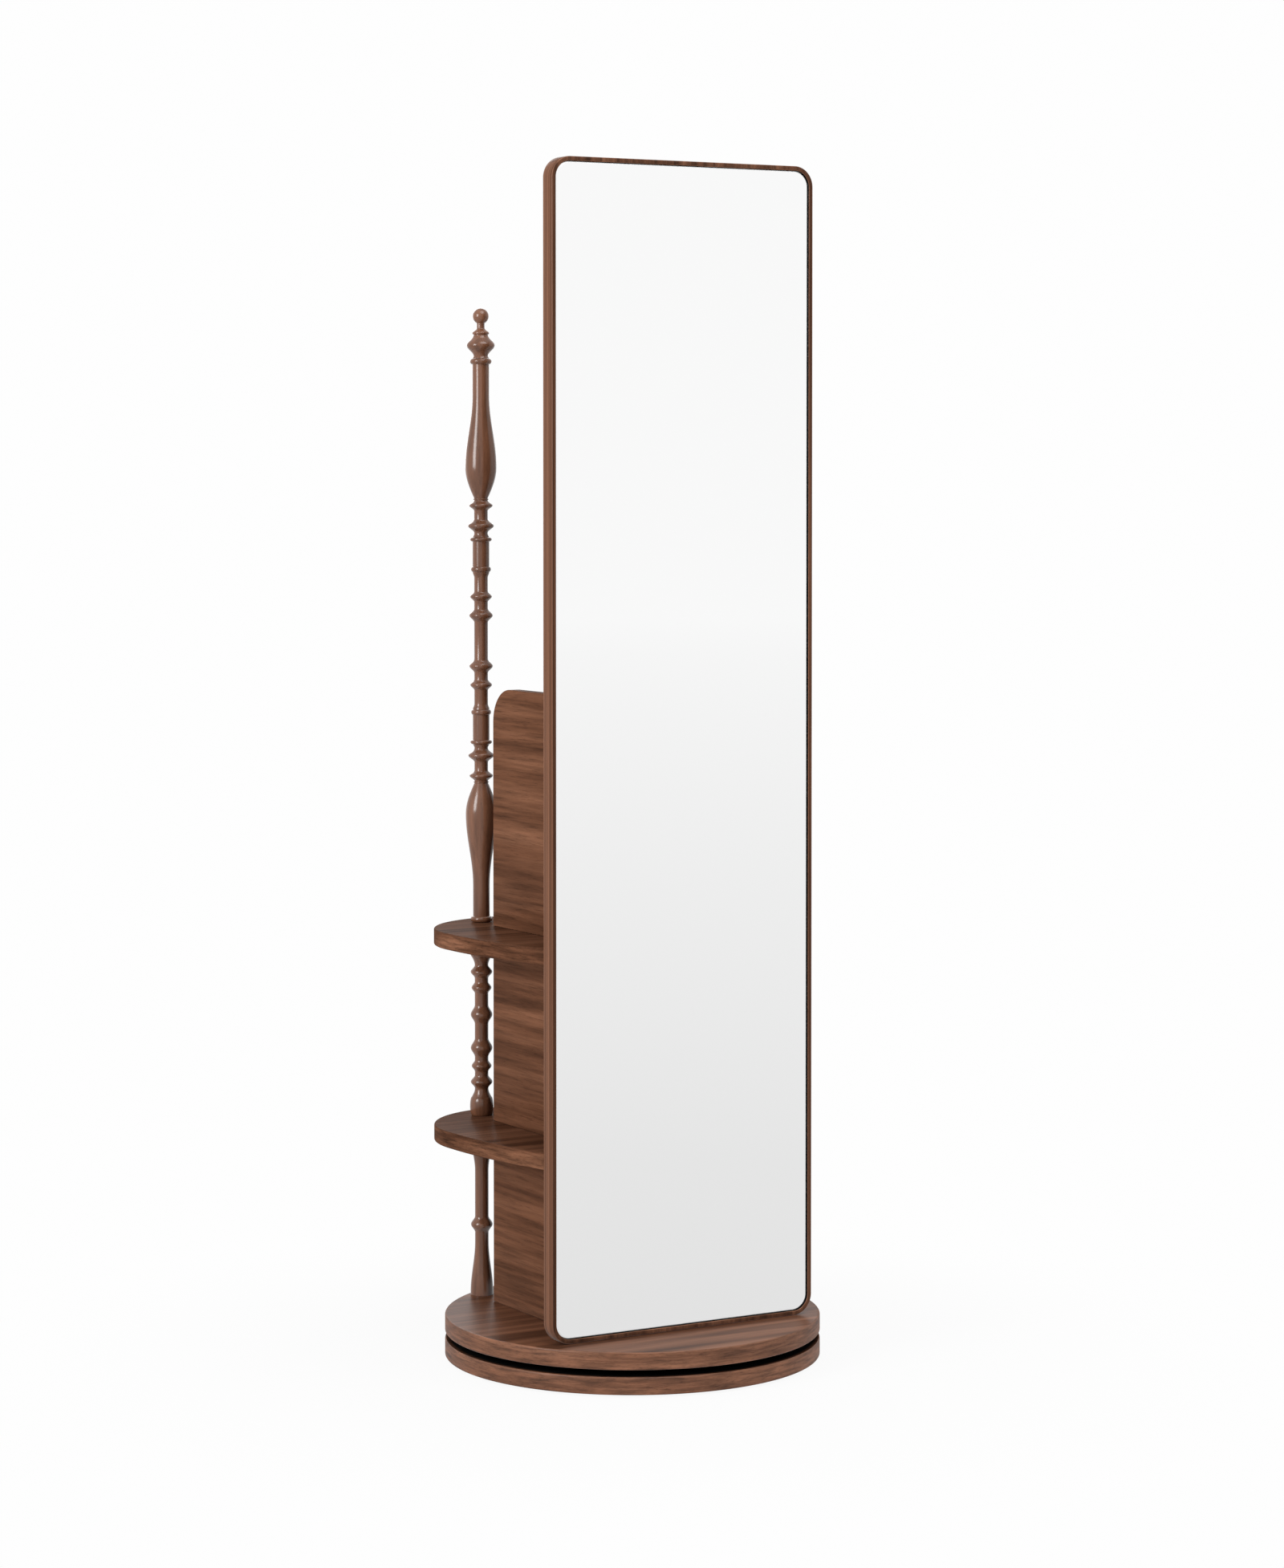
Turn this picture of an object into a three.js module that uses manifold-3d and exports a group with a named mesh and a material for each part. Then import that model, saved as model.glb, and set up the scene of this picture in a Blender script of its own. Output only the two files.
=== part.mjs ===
// Revolving wardrobe cabinet: a tall framed mirror on a round turntable, with shelves, upright boards,
// turned posts and a rail for clothes behind it. Lengths are in millimetres and +Z is up. The origin is
// on the floor at the middle of the base, and the mirror faces -Y.
import * as THREE from 'three';
import { mergeVertices } from 'three/addons/utils/BufferGeometryUtils.js';
import Module from 'manifold-3d';

const wasm = await Module();
wasm.setup();

// Clearances and cutting
const seat = 0.3; // left between two pieces that rest on or in each other
const runningGap = 0.9; // left between flat faces that turn past each other
const overrun = 2; // how far a cutter reaches past the face it opens
const weld = 0.0005; // corners closer than this are one corner

// Base and turntable, two round boards one above the other
const discRadius = 250;
const baseThickness = 23;
const turntableThickness = 23;
const swivelSlot = 9; // open height between the two boards
const discArris = 2.5; // bevel of the boards' edges
const discFacets = 52;
const padCount = 6;
const padHeight = 3;
const padRadius = 16;
const padRimDistance = 14; // from a pad's edge to the rim of the base
const padBevel = 0.8;
const padFacets = 12;

// Ball bearing between the two boards
const ballCircle = 132; // radius of the circle that the balls' centres run on
const ballRadius = 2.75;
const ballCount = 14;
const ballClearance = 0.5; // between a ball and its groove
const raceSlot = 3.2; // radial width of the slot between the two rings
const ringWidth = 18;
const ringFacets = 44;
const grooveFacets = 3;
const cageThickness = 1.6;
const cageHeight = 4.4;
const cageFacets = 28;
const ringScrewCount = 4;
const accessHoleRadius = 7; // in the base, for driving the screws of the inner ring

// Countersunk screws of the bearing rings
const screwShankRadius = 1.8;
const screwHeadRadius = 3.6;
const screwHeadDepth = 2;
const ringScrewLength = 19;
const screwFacets = 8;

// Framed mirror
const mirrorWidth = 394;
const mirrorHeight = 1521.5;
const mirrorSetback = 115; // from the front of the rim back to the mirror's front edge
const frameDepth = 24.5;
const frameWall = 6;
const frameCorner = 27; // outer corner radius
const frameArris = 1.6;
const frameCornerFacets = 6;
const glassRecess = 2.2;
const glassThickness = 4;

// Shelves
const shelfThickness = 22;
const shelfArris = 2.5;
const shelfSideInset = 24; // from the turntable's rim to the shelves' bowed sides
const shelfRearInset = 5; // and to their rear edges
const shelfCorner = 142; // radius of the two rear corners
const shelfFrontInset = 1.5; // from the mirror's edge to the shelf's front corner
const shelfSideFacets = 5;
const shelfCornerFacets = 8;
const lowerBayHeight = 223; // turntable to the lower shelf
const middleBayHeight = 241.5; // lower shelf to the upper shelf

// Upright boards between the mirror and the posts
const dividerThickness = 18;
const dividerPostDistance = 50; // from their rear edge to the middle of the posts
const dividerArris = 1.5;
const dividerTopHeight = 320; // how far the top board stands above the upper shelf
const dividerTopCorner = 45; // radius of its rear top corner
const dividerTopFacets = 6;

// Turned posts
const postX = 123.5; // also the middle of the upright boards
const postRimDistance = 55; // from the rear of the turntable's rim to the posts' middle
const postFacets = 10;
const upperPostLength = 763.9;
const footRadius = 15.4;
const neckRadius = 9.2;
const columnRadius = 11.3;
const swellRadius = 21.1;
const narrowBeadRadius = 13.5;
const beadRadius = 14.7;
const wideBeadRadius = 15.9;
const broadBeadRadius = 17.5;

// Finials
const finialHeight = 67.5;
const urnRadius = 19.1;
const urnNeckRadius = 9.7;
const collarRadius = 11.4;
const tipWristRadius = 5.2;
const tipRadius = 10.8;
const tipFacets = 6;

// Studs that join the posts through the shelves
const studRadius = 4;
const studGrip = 18; // how far a stud reaches into a post
const studDepth = 15; // how far the lowest studs reach into the turntable
const studFacets = 8;

// Rail for clothes hangers, standing out from the mirror's back
const railDrop = 93.3; // from the top of the mirror down to the middle of the rail
const railRadius = 11;
const railReach = 250; // from the mirror's back to the rail's free end
const railSocketDepth = 12; // how deep the rail sits in the back board and in its knob
const railFacets = 16;
const flangeRadius = 27;
const flangeThickness = 14;
const flangeLip = 5;
const knobRadius = 18;
const knobNeckRadius = 13.5;
const knobNeckLength = 8;

// Angle brackets between the turntable and the mirror's back
const bracketX = 62;
const bracketLeg = 38;
const bracketWidth = 28;
const bracketThickness = 2.5;
const bracketBend = 2; // radius inside the bend
const bracketHoleDistance = 24; // from the bend's outer faces to the screw holes
const bracketScrewRadius = 2;
const bracketScrewLength = 14;
const bracketHeadRadius = 4;
const bracketHeadHeight = 2.2;

// Levels and places that follow from the sizes above
const baseTop = padHeight + baseThickness;
const turntableBottom = baseTop + swivelSlot;
const turntableTop = turntableBottom + turntableThickness;
const lowerShelfBottom = turntableTop + lowerBayHeight;
const lowerShelfTop = lowerShelfBottom + shelfThickness;
const upperShelfBottom = lowerShelfTop + middleBayHeight;
const upperShelfTop = upperShelfBottom + shelfThickness;
const mirrorBack = mirrorSetback - discRadius + frameDepth;
const mirrorBottom = turntableTop + seat;
const shelfHalfWidth = discRadius - shelfSideInset;
const shelfCornerY = discRadius - shelfRearInset - shelfCorner; // Y of the rear corners' centres
const postY = discRadius - postRimDistance;
const dividerRear = postY - dividerPostDistance;

// Finishes
function finish(color, roughness, metalness = 0) {
  return new THREE.MeshStandardMaterial({ color, roughness, metalness });
}
const walnut = finish(0x6f4a35, 0.42);
const turnedWalnut = finish(0x7a4f35, 0.32);
const boardWalnut = finish(0x684431, 0.48);
const silveredGlass = finish(0xe8eaea, 0.03, 1);
const steel = finish(0x9b9da0, 0.35, 1);
const blackAluminium = finish(0x242526, 0.5, 1);
const cagePlastic = finish(0xd9d7cf, 0.55);
const felt = finish(0x3a302a, 0.95);

// Makes a closed solid of a geometry: its corners are welded, its empty triangles dropped and its
// faces turned outwards.
function solid(geometry) {
  const bare = geometry.clone();
  for (const name of Object.keys(bare.attributes)) {
    if (name !== 'position') bare.deleteAttribute(name);
  }
  const welded = mergeVertices(bare, weld);
  const corners = welded.attributes.position;
  const order = welded.index.array;
  const triangles = [];
  let volume = 0;
  for (let i = 0; i < order.length; i += 3) {
    const [p, q, r] = order.slice(i, i + 3);
    if (p === q || q === r || r === p) continue;
    triangles.push([p, q, r]);
    const [a, b, c] = [p, q, r].map((k) => new THREE.Vector3().fromBufferAttribute(corners, k));
    volume += a.dot(b.cross(c));
  }
  const facing = volume < 0 ? triangles.map(([p, q, r]) => [p, r, q]) : triangles;
  return new wasm.Manifold(new wasm.Mesh({
    numProp: 3,
    vertProperties: Float32Array.from(corners.array),
    triVerts: Uint32Array.from(facing.flat()),
  }));
}

function cut(body, cutters) {
  return cutters.reduce((rest, cutter) => rest.subtract(cutter), body);
}

// A named mesh of a solid, at its place in its group.
function piece(name, body, material, x = 0, y = 0, z = 0) {
  const { vertProperties, triVerts } = body.getMesh();
  const geometry = new THREE.BufferGeometry();
  geometry.setAttribute('position', new THREE.BufferAttribute(vertProperties, 3));
  geometry.setIndex(new THREE.BufferAttribute(triVerts, 1));
  geometry.computeVertexNormals();
  const mesh = new THREE.Mesh(geometry, material);
  mesh.name = name;
  mesh.position.set(x, y, z);
  return mesh;
}

function turnedTo(mesh, rotation) {
  mesh.rotation.copy(rotation);
  return mesh;
}

// Turns that lay a piece's own Z along the named direction. For a board, its own X and Y then run
// backwards and up.
const alongX = new THREE.Euler(Math.PI / 2, Math.PI / 2, 0);
const alongY = new THREE.Euler(-Math.PI / 2, 0, 0);
const forwards = new THREE.Euler(Math.PI / 2, 0, 0);
const upsideDown = new THREE.Euler(Math.PI, 0, 0);

// A solid of revolution about Z. Its [radius, height] profile starts and ends on the axis or closes.
function revolved(profile, facets) {
  const points = profile.map(([radius, height]) => new THREE.Vector2(radius, height));
  return solid(new THREE.LatheGeometry(points, facets).rotateX(Math.PI / 2));
}

function bar(radius, length, facets) {
  return revolved([[0, 0], [radius, 0], [radius, length], [0, length]], facets);
}

// The points of an arc, both ends included.
function arc(x, y, radius, from, to, facets) {
  return Array.from({ length: facets + 1 }, (_, i) => {
    const angle = from + ((to - from) * i) / facets;
    return new THREE.Vector2(x + radius * Math.cos(angle), y + radius * Math.sin(angle));
  });
}

function pairs(points) {
  return points.map(({ x, y }) => [x, y]);
}

// The places of copies spaced evenly on a circle.
function around(count, radius, first = 0) {
  return Array.from({ length: count }, (_, i) => {
    const angle = first + (2 * Math.PI * i) / count;
    return [radius * Math.cos(angle), radius * Math.sin(angle)];
  });
}

// Outlines are functions of an inset, so that bevels and fitted pieces can follow them. The corners
// of a rectangle are [radius, facets], from the lower right one round to the lower left one.
function rectangle(x0, y0, x1, y1, corners) {
  const places = [[x1, y0, -1, 1], [x1, y1, -1, -1], [x0, y1, 1, -1], [x0, y0, 1, 1]];
  return (inset) => places.flatMap(([x, y, inX, inY], i) => {
    const [radius, facets] = corners[i];
    const from = ((i - 1) * Math.PI) / 2;
    const to = (i * Math.PI) / 2;
    return arc(x + inX * radius, y + inY * radius, radius - inset, from, to, facets);
  });
}

// A shelf's front corners meet the mirror's edges, its sides bow outwards, and its rear corners are
// wide arcs with a straight stretch between them.
function shelfOutline(inset) {
  const front = mirrorBack + seat;
  const bow = shelfHalfWidth - (mirrorWidth / 2 - shelfFrontInset);
  const run = shelfCornerY - front;
  const sideRadius = (bow * bow + run * run) / (2 * bow);
  const start = Math.asin((front + inset - shelfCornerY) / (sideRadius - inset));
  const sideX = shelfHalfWidth - sideRadius;
  const cornerX = shelfHalfWidth - shelfCorner;
  const side = arc(sideX, shelfCornerY, sideRadius - inset, start, 0, shelfSideFacets);
  const corner = arc(cornerX, shelfCornerY, shelfCorner - inset, 0, Math.PI / 2, shelfCornerFacets);
  const right = [...side, ...corner.slice(1)];
  const left = right.map(({ x, y }) => new THREE.Vector2(-x, y)).reverse();
  return [...right, ...left];
}

// The [inset, height] pairs of a board's edge, from its lower face to its upper face.
function bevelled(thickness, arris) {
  return [[arris, 0], [0, arris], [0, thickness - arris], [arris, thickness]];
}

// Joins rings of points, one for each [inset, height] pair, by strips. The ends are capped, or the
// last ring is joined to the first one round a hollow middle.
function lofted(outline, edge, hollow = false) {
  const rings = edge.map(([inset, height]) => outline(inset).map(({ x, y }) => [x, y, height]));
  const count = rings[0].length;
  const indices = [];
  const strips = hollow ? rings.length : rings.length - 1;
  for (let i = 0; i < strips; i += 1) {
    const low = i * count;
    const high = ((i + 1) % rings.length) * count;
    for (let j = 0; j < count; j += 1) {
      const k = (j + 1) % count;
      indices.push(low + j, low + k, high + k, low + j, high + k, high + j);
    }
  }
  if (!hollow) {
    const last = (rings.length - 1) * count;
    for (const [p, q, r] of THREE.ShapeUtils.triangulateShape(outline(edge[0][0]), [])) {
      indices.push(p, r, q, last + p, last + q, last + r);
    }
  }
  const geometry = new THREE.BufferGeometry();
  geometry.setAttribute('position', new THREE.Float32BufferAttribute(rings.flat(2), 3));
  geometry.setIndex(indices);
  return solid(geometry);
}

// Turning. A profile is made from bottom to top of steps, each with its share of the length and the
// radius that it reaches. A bead, a ring and a knop stand out and come back: the first two are round
// and full, and a knop has hollow flanks. A sweep is an S, a round starts along the post and turns in,
// a hollow turns in and ends along the post, and a line is straight.
const curves = {
  line: { shares: [1], rise: () => 1 },
  sweep: { shares: [0.27, 0.5, 0.73, 1], rise: (t) => (1 - Math.cos(Math.PI * t)) / 2 },
  round: { shares: [0.4, 0.72, 1], rise: (t) => 1 - Math.cos((Math.PI * t) / 2) },
  hollow: { shares: [0.28, 0.6, 1], rise: (t) => Math.sin((Math.PI * t) / 2) },
};
const full = (t) => Math.sqrt(Math.sin(Math.PI * t));
const standing = {
  bead: { shares: [0.16, 0.5, 0.84], out: full },
  ring: { shares: [0.25, 0.75], out: full },
  knop: { shares: [0.2, 0.42, 0.58, 0.8], out: (t) => (1 - Math.cos(2 * Math.PI * t)) / 2 },
};

function turned(length, firstRadius, steps) {
  const total = steps.reduce((sum, [, share]) => sum + share, 0);
  const profile = [[firstRadius, 0]];
  let height = 0;
  let radius = firstRadius;
  for (const [kind, share, size] of steps) {
    const rise = (length * share) / total;
    if (standing[kind]) {
      const { shares, out } = standing[kind];
      for (const t of shares) profile.push([radius + (size - radius) * out(t), height + rise * t]);
      profile.push([radius, height + rise]);
    } else {
      const { shares, rise: curve } = curves[kind];
      for (const t of shares) profile.push([radius + (size - radius) * curve(t), height + rise * t]);
      radius = size;
    }
    height += rise;
  }
  return profile;
}

// The steps of a post that is alike both ways, from those of its lower half.
function bothWays(firstRadius, half) {
  const other = { round: 'hollow', hollow: 'round' };
  const upper = [];
  let radius = firstRadius;
  for (const [kind, share, size] of half) {
    const comesBack = Boolean(standing[kind]);
    upper.unshift([other[kind] ?? kind, share, comesBack ? size : radius]);
    if (!comesBack) radius = size;
  }
  return [...half, ...upper];
}

const lowerPostShares = [
  ['line', 2, footRadius],
  ['sweep', 70, neckRadius],
  ['line', 12, neckRadius],
  ['knop', 22, beadRadius],
  ['line', 62, neckRadius],
  ['sweep', 49, footRadius],
  ['line', 4, footRadius],
];
const middlePostShares = bothWays(narrowBeadRadius, [
  ['bead', 25, wideBeadRadius],
  ['hollow', 12, neckRadius],
  ['knop', 18, beadRadius],
  ['line', 5, neckRadius],
  ['knop', 16, narrowBeadRadius],
  ['line', 16, neckRadius],
  ['knop', 26, beadRadius],
  ['line', 4, neckRadius],
]);
const upperPostShares = bothWays(columnRadius, [
  ['ring', 8, beadRadius],
  ['line', 42, columnRadius],
  ['sweep', 97, swellRadius],
  ['round', 44, neckRadius],
  ['knop', 15, wideBeadRadius],
  ['line', 11, neckRadius],
  ['knop', 18.5, broadBeadRadius],
  ['line', 6, columnRadius],
  ['ring', 6, beadRadius],
  ['line', 34, columnRadius],
  ['ring', 7, narrowBeadRadius],
  ['line', 8, neckRadius],
  ['line', 18, neckRadius],
  ['knop', 15, beadRadius],
  ['line', 8.5, neckRadius],
  ['knop', 19, wideBeadRadius],
  ['line', 24.8, neckRadius],
]);
const urnShares = [
  ['line', 3, urnNeckRadius],
  ['knop', 28.5, urnRadius],
  ['line', 2, collarRadius],
  ['sweep', 7.2, tipWristRadius],
  ['line', 6.2, tipWristRadius],
];

// A turned post of one bay, bored at both ends for its studs.
const studBore = studGrip + seat;
function post(length, firstRadius, shares) {
  const bore = studRadius + seat;
  const lower = [[0, studBore], [bore, studBore], [bore, 0]];
  const upper = [[bore, length], [bore, length - studBore], [0, length - studBore]];
  return revolved([...lower, ...turned(length, firstRadius, shares), ...upper], postFacets);
}

// A finial: an urn with a skirted collar and a round tip, and a spigot below it that enters the post.
function finial() {
  const wristAngle = -Math.acos(tipWristRadius / tipRadius);
  const tipMiddle = finialHeight - tipRadius;
  const urnHeight = tipMiddle + tipRadius * Math.sin(wristAngle);
  const tip = pairs(arc(0, tipMiddle, tipRadius, wristAngle, Math.PI / 2, tipFacets)).slice(1, -1);
  const spigot = [[0, -studGrip], [studRadius, -studGrip], [studRadius, 0]];
  const urn = turned(urnHeight, columnRadius, urnShares);
  return revolved([...spigot, ...urn, ...tip, [0, finialHeight]], postFacets);
}

// A bearing ring. The outer one, side 1, is screwed down to the base, and the inner one, side -1, up
// to the turntable. Each has a groove for the balls in the wall that faces the slot.
const ringHeight = swivelSlot - seat - runningGap;
function bearingRing(side, ballHeight) {
  const grooveRadius = ballRadius + ballClearance;
  const mouth = Math.acos(raceSlot / 2 / grooveRadius);
  const groove = pairs(arc(0, ballHeight, grooveRadius, mouth, -mouth, grooveFacets))
    .map(([out, height]) => [ballCircle + side * out, height]);
  const wall = ballCircle + (side * raceSlot) / 2;
  const back = wall + side * ringWidth;
  const profile = [[wall, 0], [back, 0], [back, ringHeight], [wall, ringHeight], ...groove, [wall, 0]];
  return revolved(profile, ringFacets);
}

function ballCage() {
  const inner = ballCircle - cageThickness / 2;
  const outer = inner + cageThickness;
  const half = cageHeight / 2;
  const band = [[inner, -half], [outer, -half], [outer, half], [inner, half], [inner, -half]];
  const ball = solid(new THREE.SphereGeometry(ballRadius, 6, 4).rotateX(Math.PI / 2));
  return around(ballCount, ballCircle)
    .map(([x, y]) => ball.translate([x, y, 0]))
    .reduce((joined, one) => joined.add(one), revolved(band, cageFacets));
}

// A countersunk screw that points down, with its head's face at height zero. With a clearance it is
// the cutter of its own hole.
function ringScrew(clearance = 0) {
  const shank = screwShankRadius + clearance;
  const head = screwHeadRadius + clearance;
  const tip = -ringScrewLength - clearance;
  const mouth = clearance > 0 ? [[head, overrun], [0, overrun]] : [[0, 0]];
  const profile = [[0, tip], [shank, tip], [shank, -screwHeadDepth], [head, 0], ...mouth];
  return revolved(profile, screwFacets);
}
const outerScrewPlaces = around(ringScrewCount, ballCircle + raceSlot / 2 + ringWidth / 2);
const innerScrewPlaces = around(ringScrewCount, ballCircle - raceSlot / 2 - ringWidth / 2);

function outerScrewHoles(height) {
  return outerScrewPlaces.map(([x, y]) => ringScrew(seat).translate([x, y, height]));
}

function innerScrewHoles(height) {
  return innerScrewPlaces.map(([x, y]) =>
    ringScrew(seat).rotate([180, 0, 0]).translate([x, y, height]));
}

// A round board with bevelled edges.
function roundBoard(thickness) {
  const edge = bevelled(thickness, discArris).map(([inset, height]) => [discRadius - inset, height]);
  return revolved([[0, 0], ...edge, [0, thickness]], discFacets);
}

// Base: the lower board on its pads, with the bearing's outer ring screwed onto it.
const ringSeat = baseTop + seat;
const outerRingTop = ringSeat + ringHeight;
const ballLevel = baseTop + swivelSlot / 2;

function baseGroup() {
  const group = new THREE.Group();
  const [accessX, accessY] = innerScrewPlaces[0];
  const access = bar(accessHoleRadius, baseThickness + 2 * overrun, padFacets)
    .translate([accessX, accessY, -overrun]);
  const board = cut(roundBoard(baseThickness), [...outerScrewHoles(outerRingTop - padHeight), access]);
  group.add(piece('base_board', board, walnut, 0, 0, padHeight));

  const padTop = padHeight - seat;
  const padProfile = [[0, 0], [padRadius - padBevel, 0], [padRadius, padBevel], [padRadius, padTop]];
  const padCircle = discRadius - padRimDistance - padRadius;
  around(padCount, padCircle, Math.PI / padCount).forEach(([x, y], i) => {
    const pad = revolved([...padProfile, [0, padTop]], padFacets);
    group.add(piece(`foot_pad_${i + 1}`, pad, felt, x, y, 0));
  });

  const ring = cut(bearingRing(1, ballLevel - ringSeat), outerScrewHoles(ringHeight));
  group.add(piece('bearing_outer_ring', ring, blackAluminium, 0, 0, ringSeat));
  outerScrewPlaces.forEach(([x, y], i) => {
    group.add(piece(`outer_ring_screw_${i + 1}`, ringScrew(), steel, x, y, outerRingTop));
  });
  return group;
}

function cageGroup() {
  return piece('bearing_ball_cage', ballCage(), cagePlastic, 0, 0, ballLevel);
}

// A bracket: a strip bent to an angle, its outer corner at its own origin.
function bracket() {
  const [leg, thick] = [bracketLeg, bracketThickness];
  const outer = bracketBend + thick;
  const shape = new THREE.Shape([
    new THREE.Vector2(leg, 0),
    new THREE.Vector2(leg, thick),
    ...arc(outer, outer, bracketBend, -Math.PI / 2, -Math.PI, 2),
    new THREE.Vector2(thick, leg),
    new THREE.Vector2(0, leg),
    ...arc(outer, outer, outer, Math.PI, (3 * Math.PI) / 2, 2),
  ]);
  const strip = new THREE.ExtrudeGeometry(shape, { depth: bracketWidth, bevelEnabled: false });
  const hole = bar(bracketScrewRadius + seat, thick + 2 * overrun, screwFacets);
  const middle = bracketWidth / 2;
  return cut(solid(strip), [
    hole.rotate([-90, 0, 0]).translate([bracketHoleDistance, -overrun, middle]),
    hole.rotate([0, 90, 0]).translate([-overrun, bracketHoleDistance, middle]),
  ]).translate([0, 0, -middle]);
}

// A round-headed screw that points down, with the underside of its head at height zero.
function bracketScrew() {
  const rim = bracketHeadHeight / 2;
  return revolved([
    [0, -bracketScrewLength],
    [bracketScrewRadius, -bracketScrewLength],
    [bracketScrewRadius, 0],
    [bracketHeadRadius, 0],
    [bracketHeadRadius, rim],
    [bracketHeadRadius - rim, bracketHeadHeight],
    [0, bracketHeadHeight],
  ], screwFacets);
}
const bracketPilot = bracketScrewLength - bracketThickness;
const bracketPlaces = [-bracketX, bracketX];

// Turntable board: blind holes above for the studs and brackets, and below for the ring's screws.
function turntableBoard() {
  const studHole = bar(studRadius + seat, studDepth + seat + overrun, studFacets);
  const studBottom = turntableThickness - studDepth - seat;
  const pilot = bar(bracketScrewRadius + seat, bracketPilot + overrun, screwFacets);
  const pilotY = mirrorBack + seat + bracketHoleDistance;
  const ringBottom = baseTop + runningGap;
  return cut(roundBoard(turntableThickness), [
    ...innerScrewHoles(ringBottom - turntableBottom),
    ...[-postX, postX].map((x) => studHole.translate([x, postY, studBottom])),
    ...bracketPlaces.map((x) => pilot.translate([x, pilotY, turntableThickness - bracketPilot])),
  ]);
}

// The mirror, in a group whose X runs right, Y up and Z forwards, from the mirror's back.
function mirrorGroup() {
  const group = new THREE.Group();
  group.position.set(0, mirrorBack, mirrorBottom);
  group.rotation.copy(forwards);
  const corners = Array(4).fill([frameCorner, frameCornerFacets]);
  const outline = rectangle(-mirrorWidth / 2, 0, mirrorWidth / 2, mirrorHeight, corners);
  const inside = (inset) => outline(frameWall + seat + inset);

  const frame = lofted(outline, [
    [0, frameArris],
    [0, frameDepth - frameArris],
    [frameArris, frameDepth],
    [frameWall, frameDepth],
    [frameWall, 0],
    [frameArris, 0],
  ], true);
  group.add(piece('mirror_frame', frame, walnut));

  const glassBack = frameDepth - glassRecess - glassThickness;
  const glass = lofted(inside, [[0, 0], [0, glassThickness]]);
  group.add(piece('mirror_glass', glass, silveredGlass, 0, 0, glassBack));

  const pilot = bar(bracketScrewRadius + seat, bracketPilot + overrun, screwFacets);
  const railHole = bar(railRadius + seat, railSocketDepth + seat + overrun, railFacets);
  const board = cut(lofted(inside, [[0, 0], [0, glassBack - seat]]), [
    ...bracketPlaces.map((x) => pilot.translate([x, bracketHoleDistance, -overrun])),
    railHole.translate([0, mirrorHeight - railDrop, -overrun]),
  ]);
  group.add(piece('mirror_back_board', board, boardWalnut));
  return group;
}

// One bracket, with its screws into the turntable and into the mirror's back board.
function bracketGroup(name, x) {
  const group = new THREE.Group();
  group.position.set(x, mirrorBack + seat, turntableTop + seat);
  const head = bracketThickness + seat;
  const down = piece(`${name}_screw_down`, bracketScrew(), steel, 0, bracketHoleDistance, head);
  const across = piece(`${name}_screw_across`, bracketScrew(), steel, 0, head, bracketHoleDistance);
  group.add(turnedTo(piece(name, bracket(), steel), alongX), down, turnedTo(across, alongY));
  return group;
}

// Rail: a rod let into the back board through a turned flange, with a knob on its free end.
function railGroup() {
  const group = new THREE.Group();
  group.position.set(0, mirrorBack, mirrorBottom + mirrorHeight - railDrop);
  group.rotation.copy(alongY);
  const bore = railRadius + seat;
  group.add(piece('hanging_rail', bar(railRadius, railSocketDepth + railReach, railFacets), turnedWalnut,
    0, 0, -railSocketDepth));

  const cove = flangeThickness - flangeLip;
  const slope = pairs(arc(flangeRadius, flangeThickness, cove, -Math.PI / 2, -Math.PI, 3));
  const flange = [[bore, 0], [flangeRadius, 0], ...slope, [bore, flangeThickness], [bore, 0]];
  group.add(piece('rail_flange', revolved(flange, railFacets), turnedWalnut, 0, 0, seat));

  const start = -Math.acos(knobNeckRadius / knobRadius);
  const middle = knobNeckLength - knobRadius * Math.sin(start);
  const ball = pairs(arc(0, middle, knobRadius, start, Math.PI / 2, 6)).slice(0, -1);
  const socket = [[0, railSocketDepth + seat], [bore, railSocketDepth + seat], [bore, 0]];
  const knob = [...socket, [knobNeckRadius, 0], ...ball, [0, middle + knobRadius]];
  group.add(piece('rail_knob', revolved(knob, railFacets), turnedWalnut,
    0, 0, railReach - railSocketDepth));
  return group;
}

function shelf() {
  const hole = bar(studRadius + seat, shelfThickness + 2 * overrun, studFacets);
  const board = lofted(shelfOutline, bevelled(shelfThickness, shelfArris));
  return cut(board, [-postX, postX].map((x) => hole.translate([x, postY, -overrun])));
}

// An upright board, its lower front corner at its own origin and its middle at its own height zero.
function upright(height, topCorner) {
  const depth = dividerRear - mirrorBack - seat;
  const small = [dividerArris, 1];
  const outline = rectangle(0, 0, depth, height, [small, topCorner ?? small, small, small]);
  return lofted(outline, bevelled(dividerThickness, dividerArris))
    .translate([0, 0, -dividerThickness / 2]);
}

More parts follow.
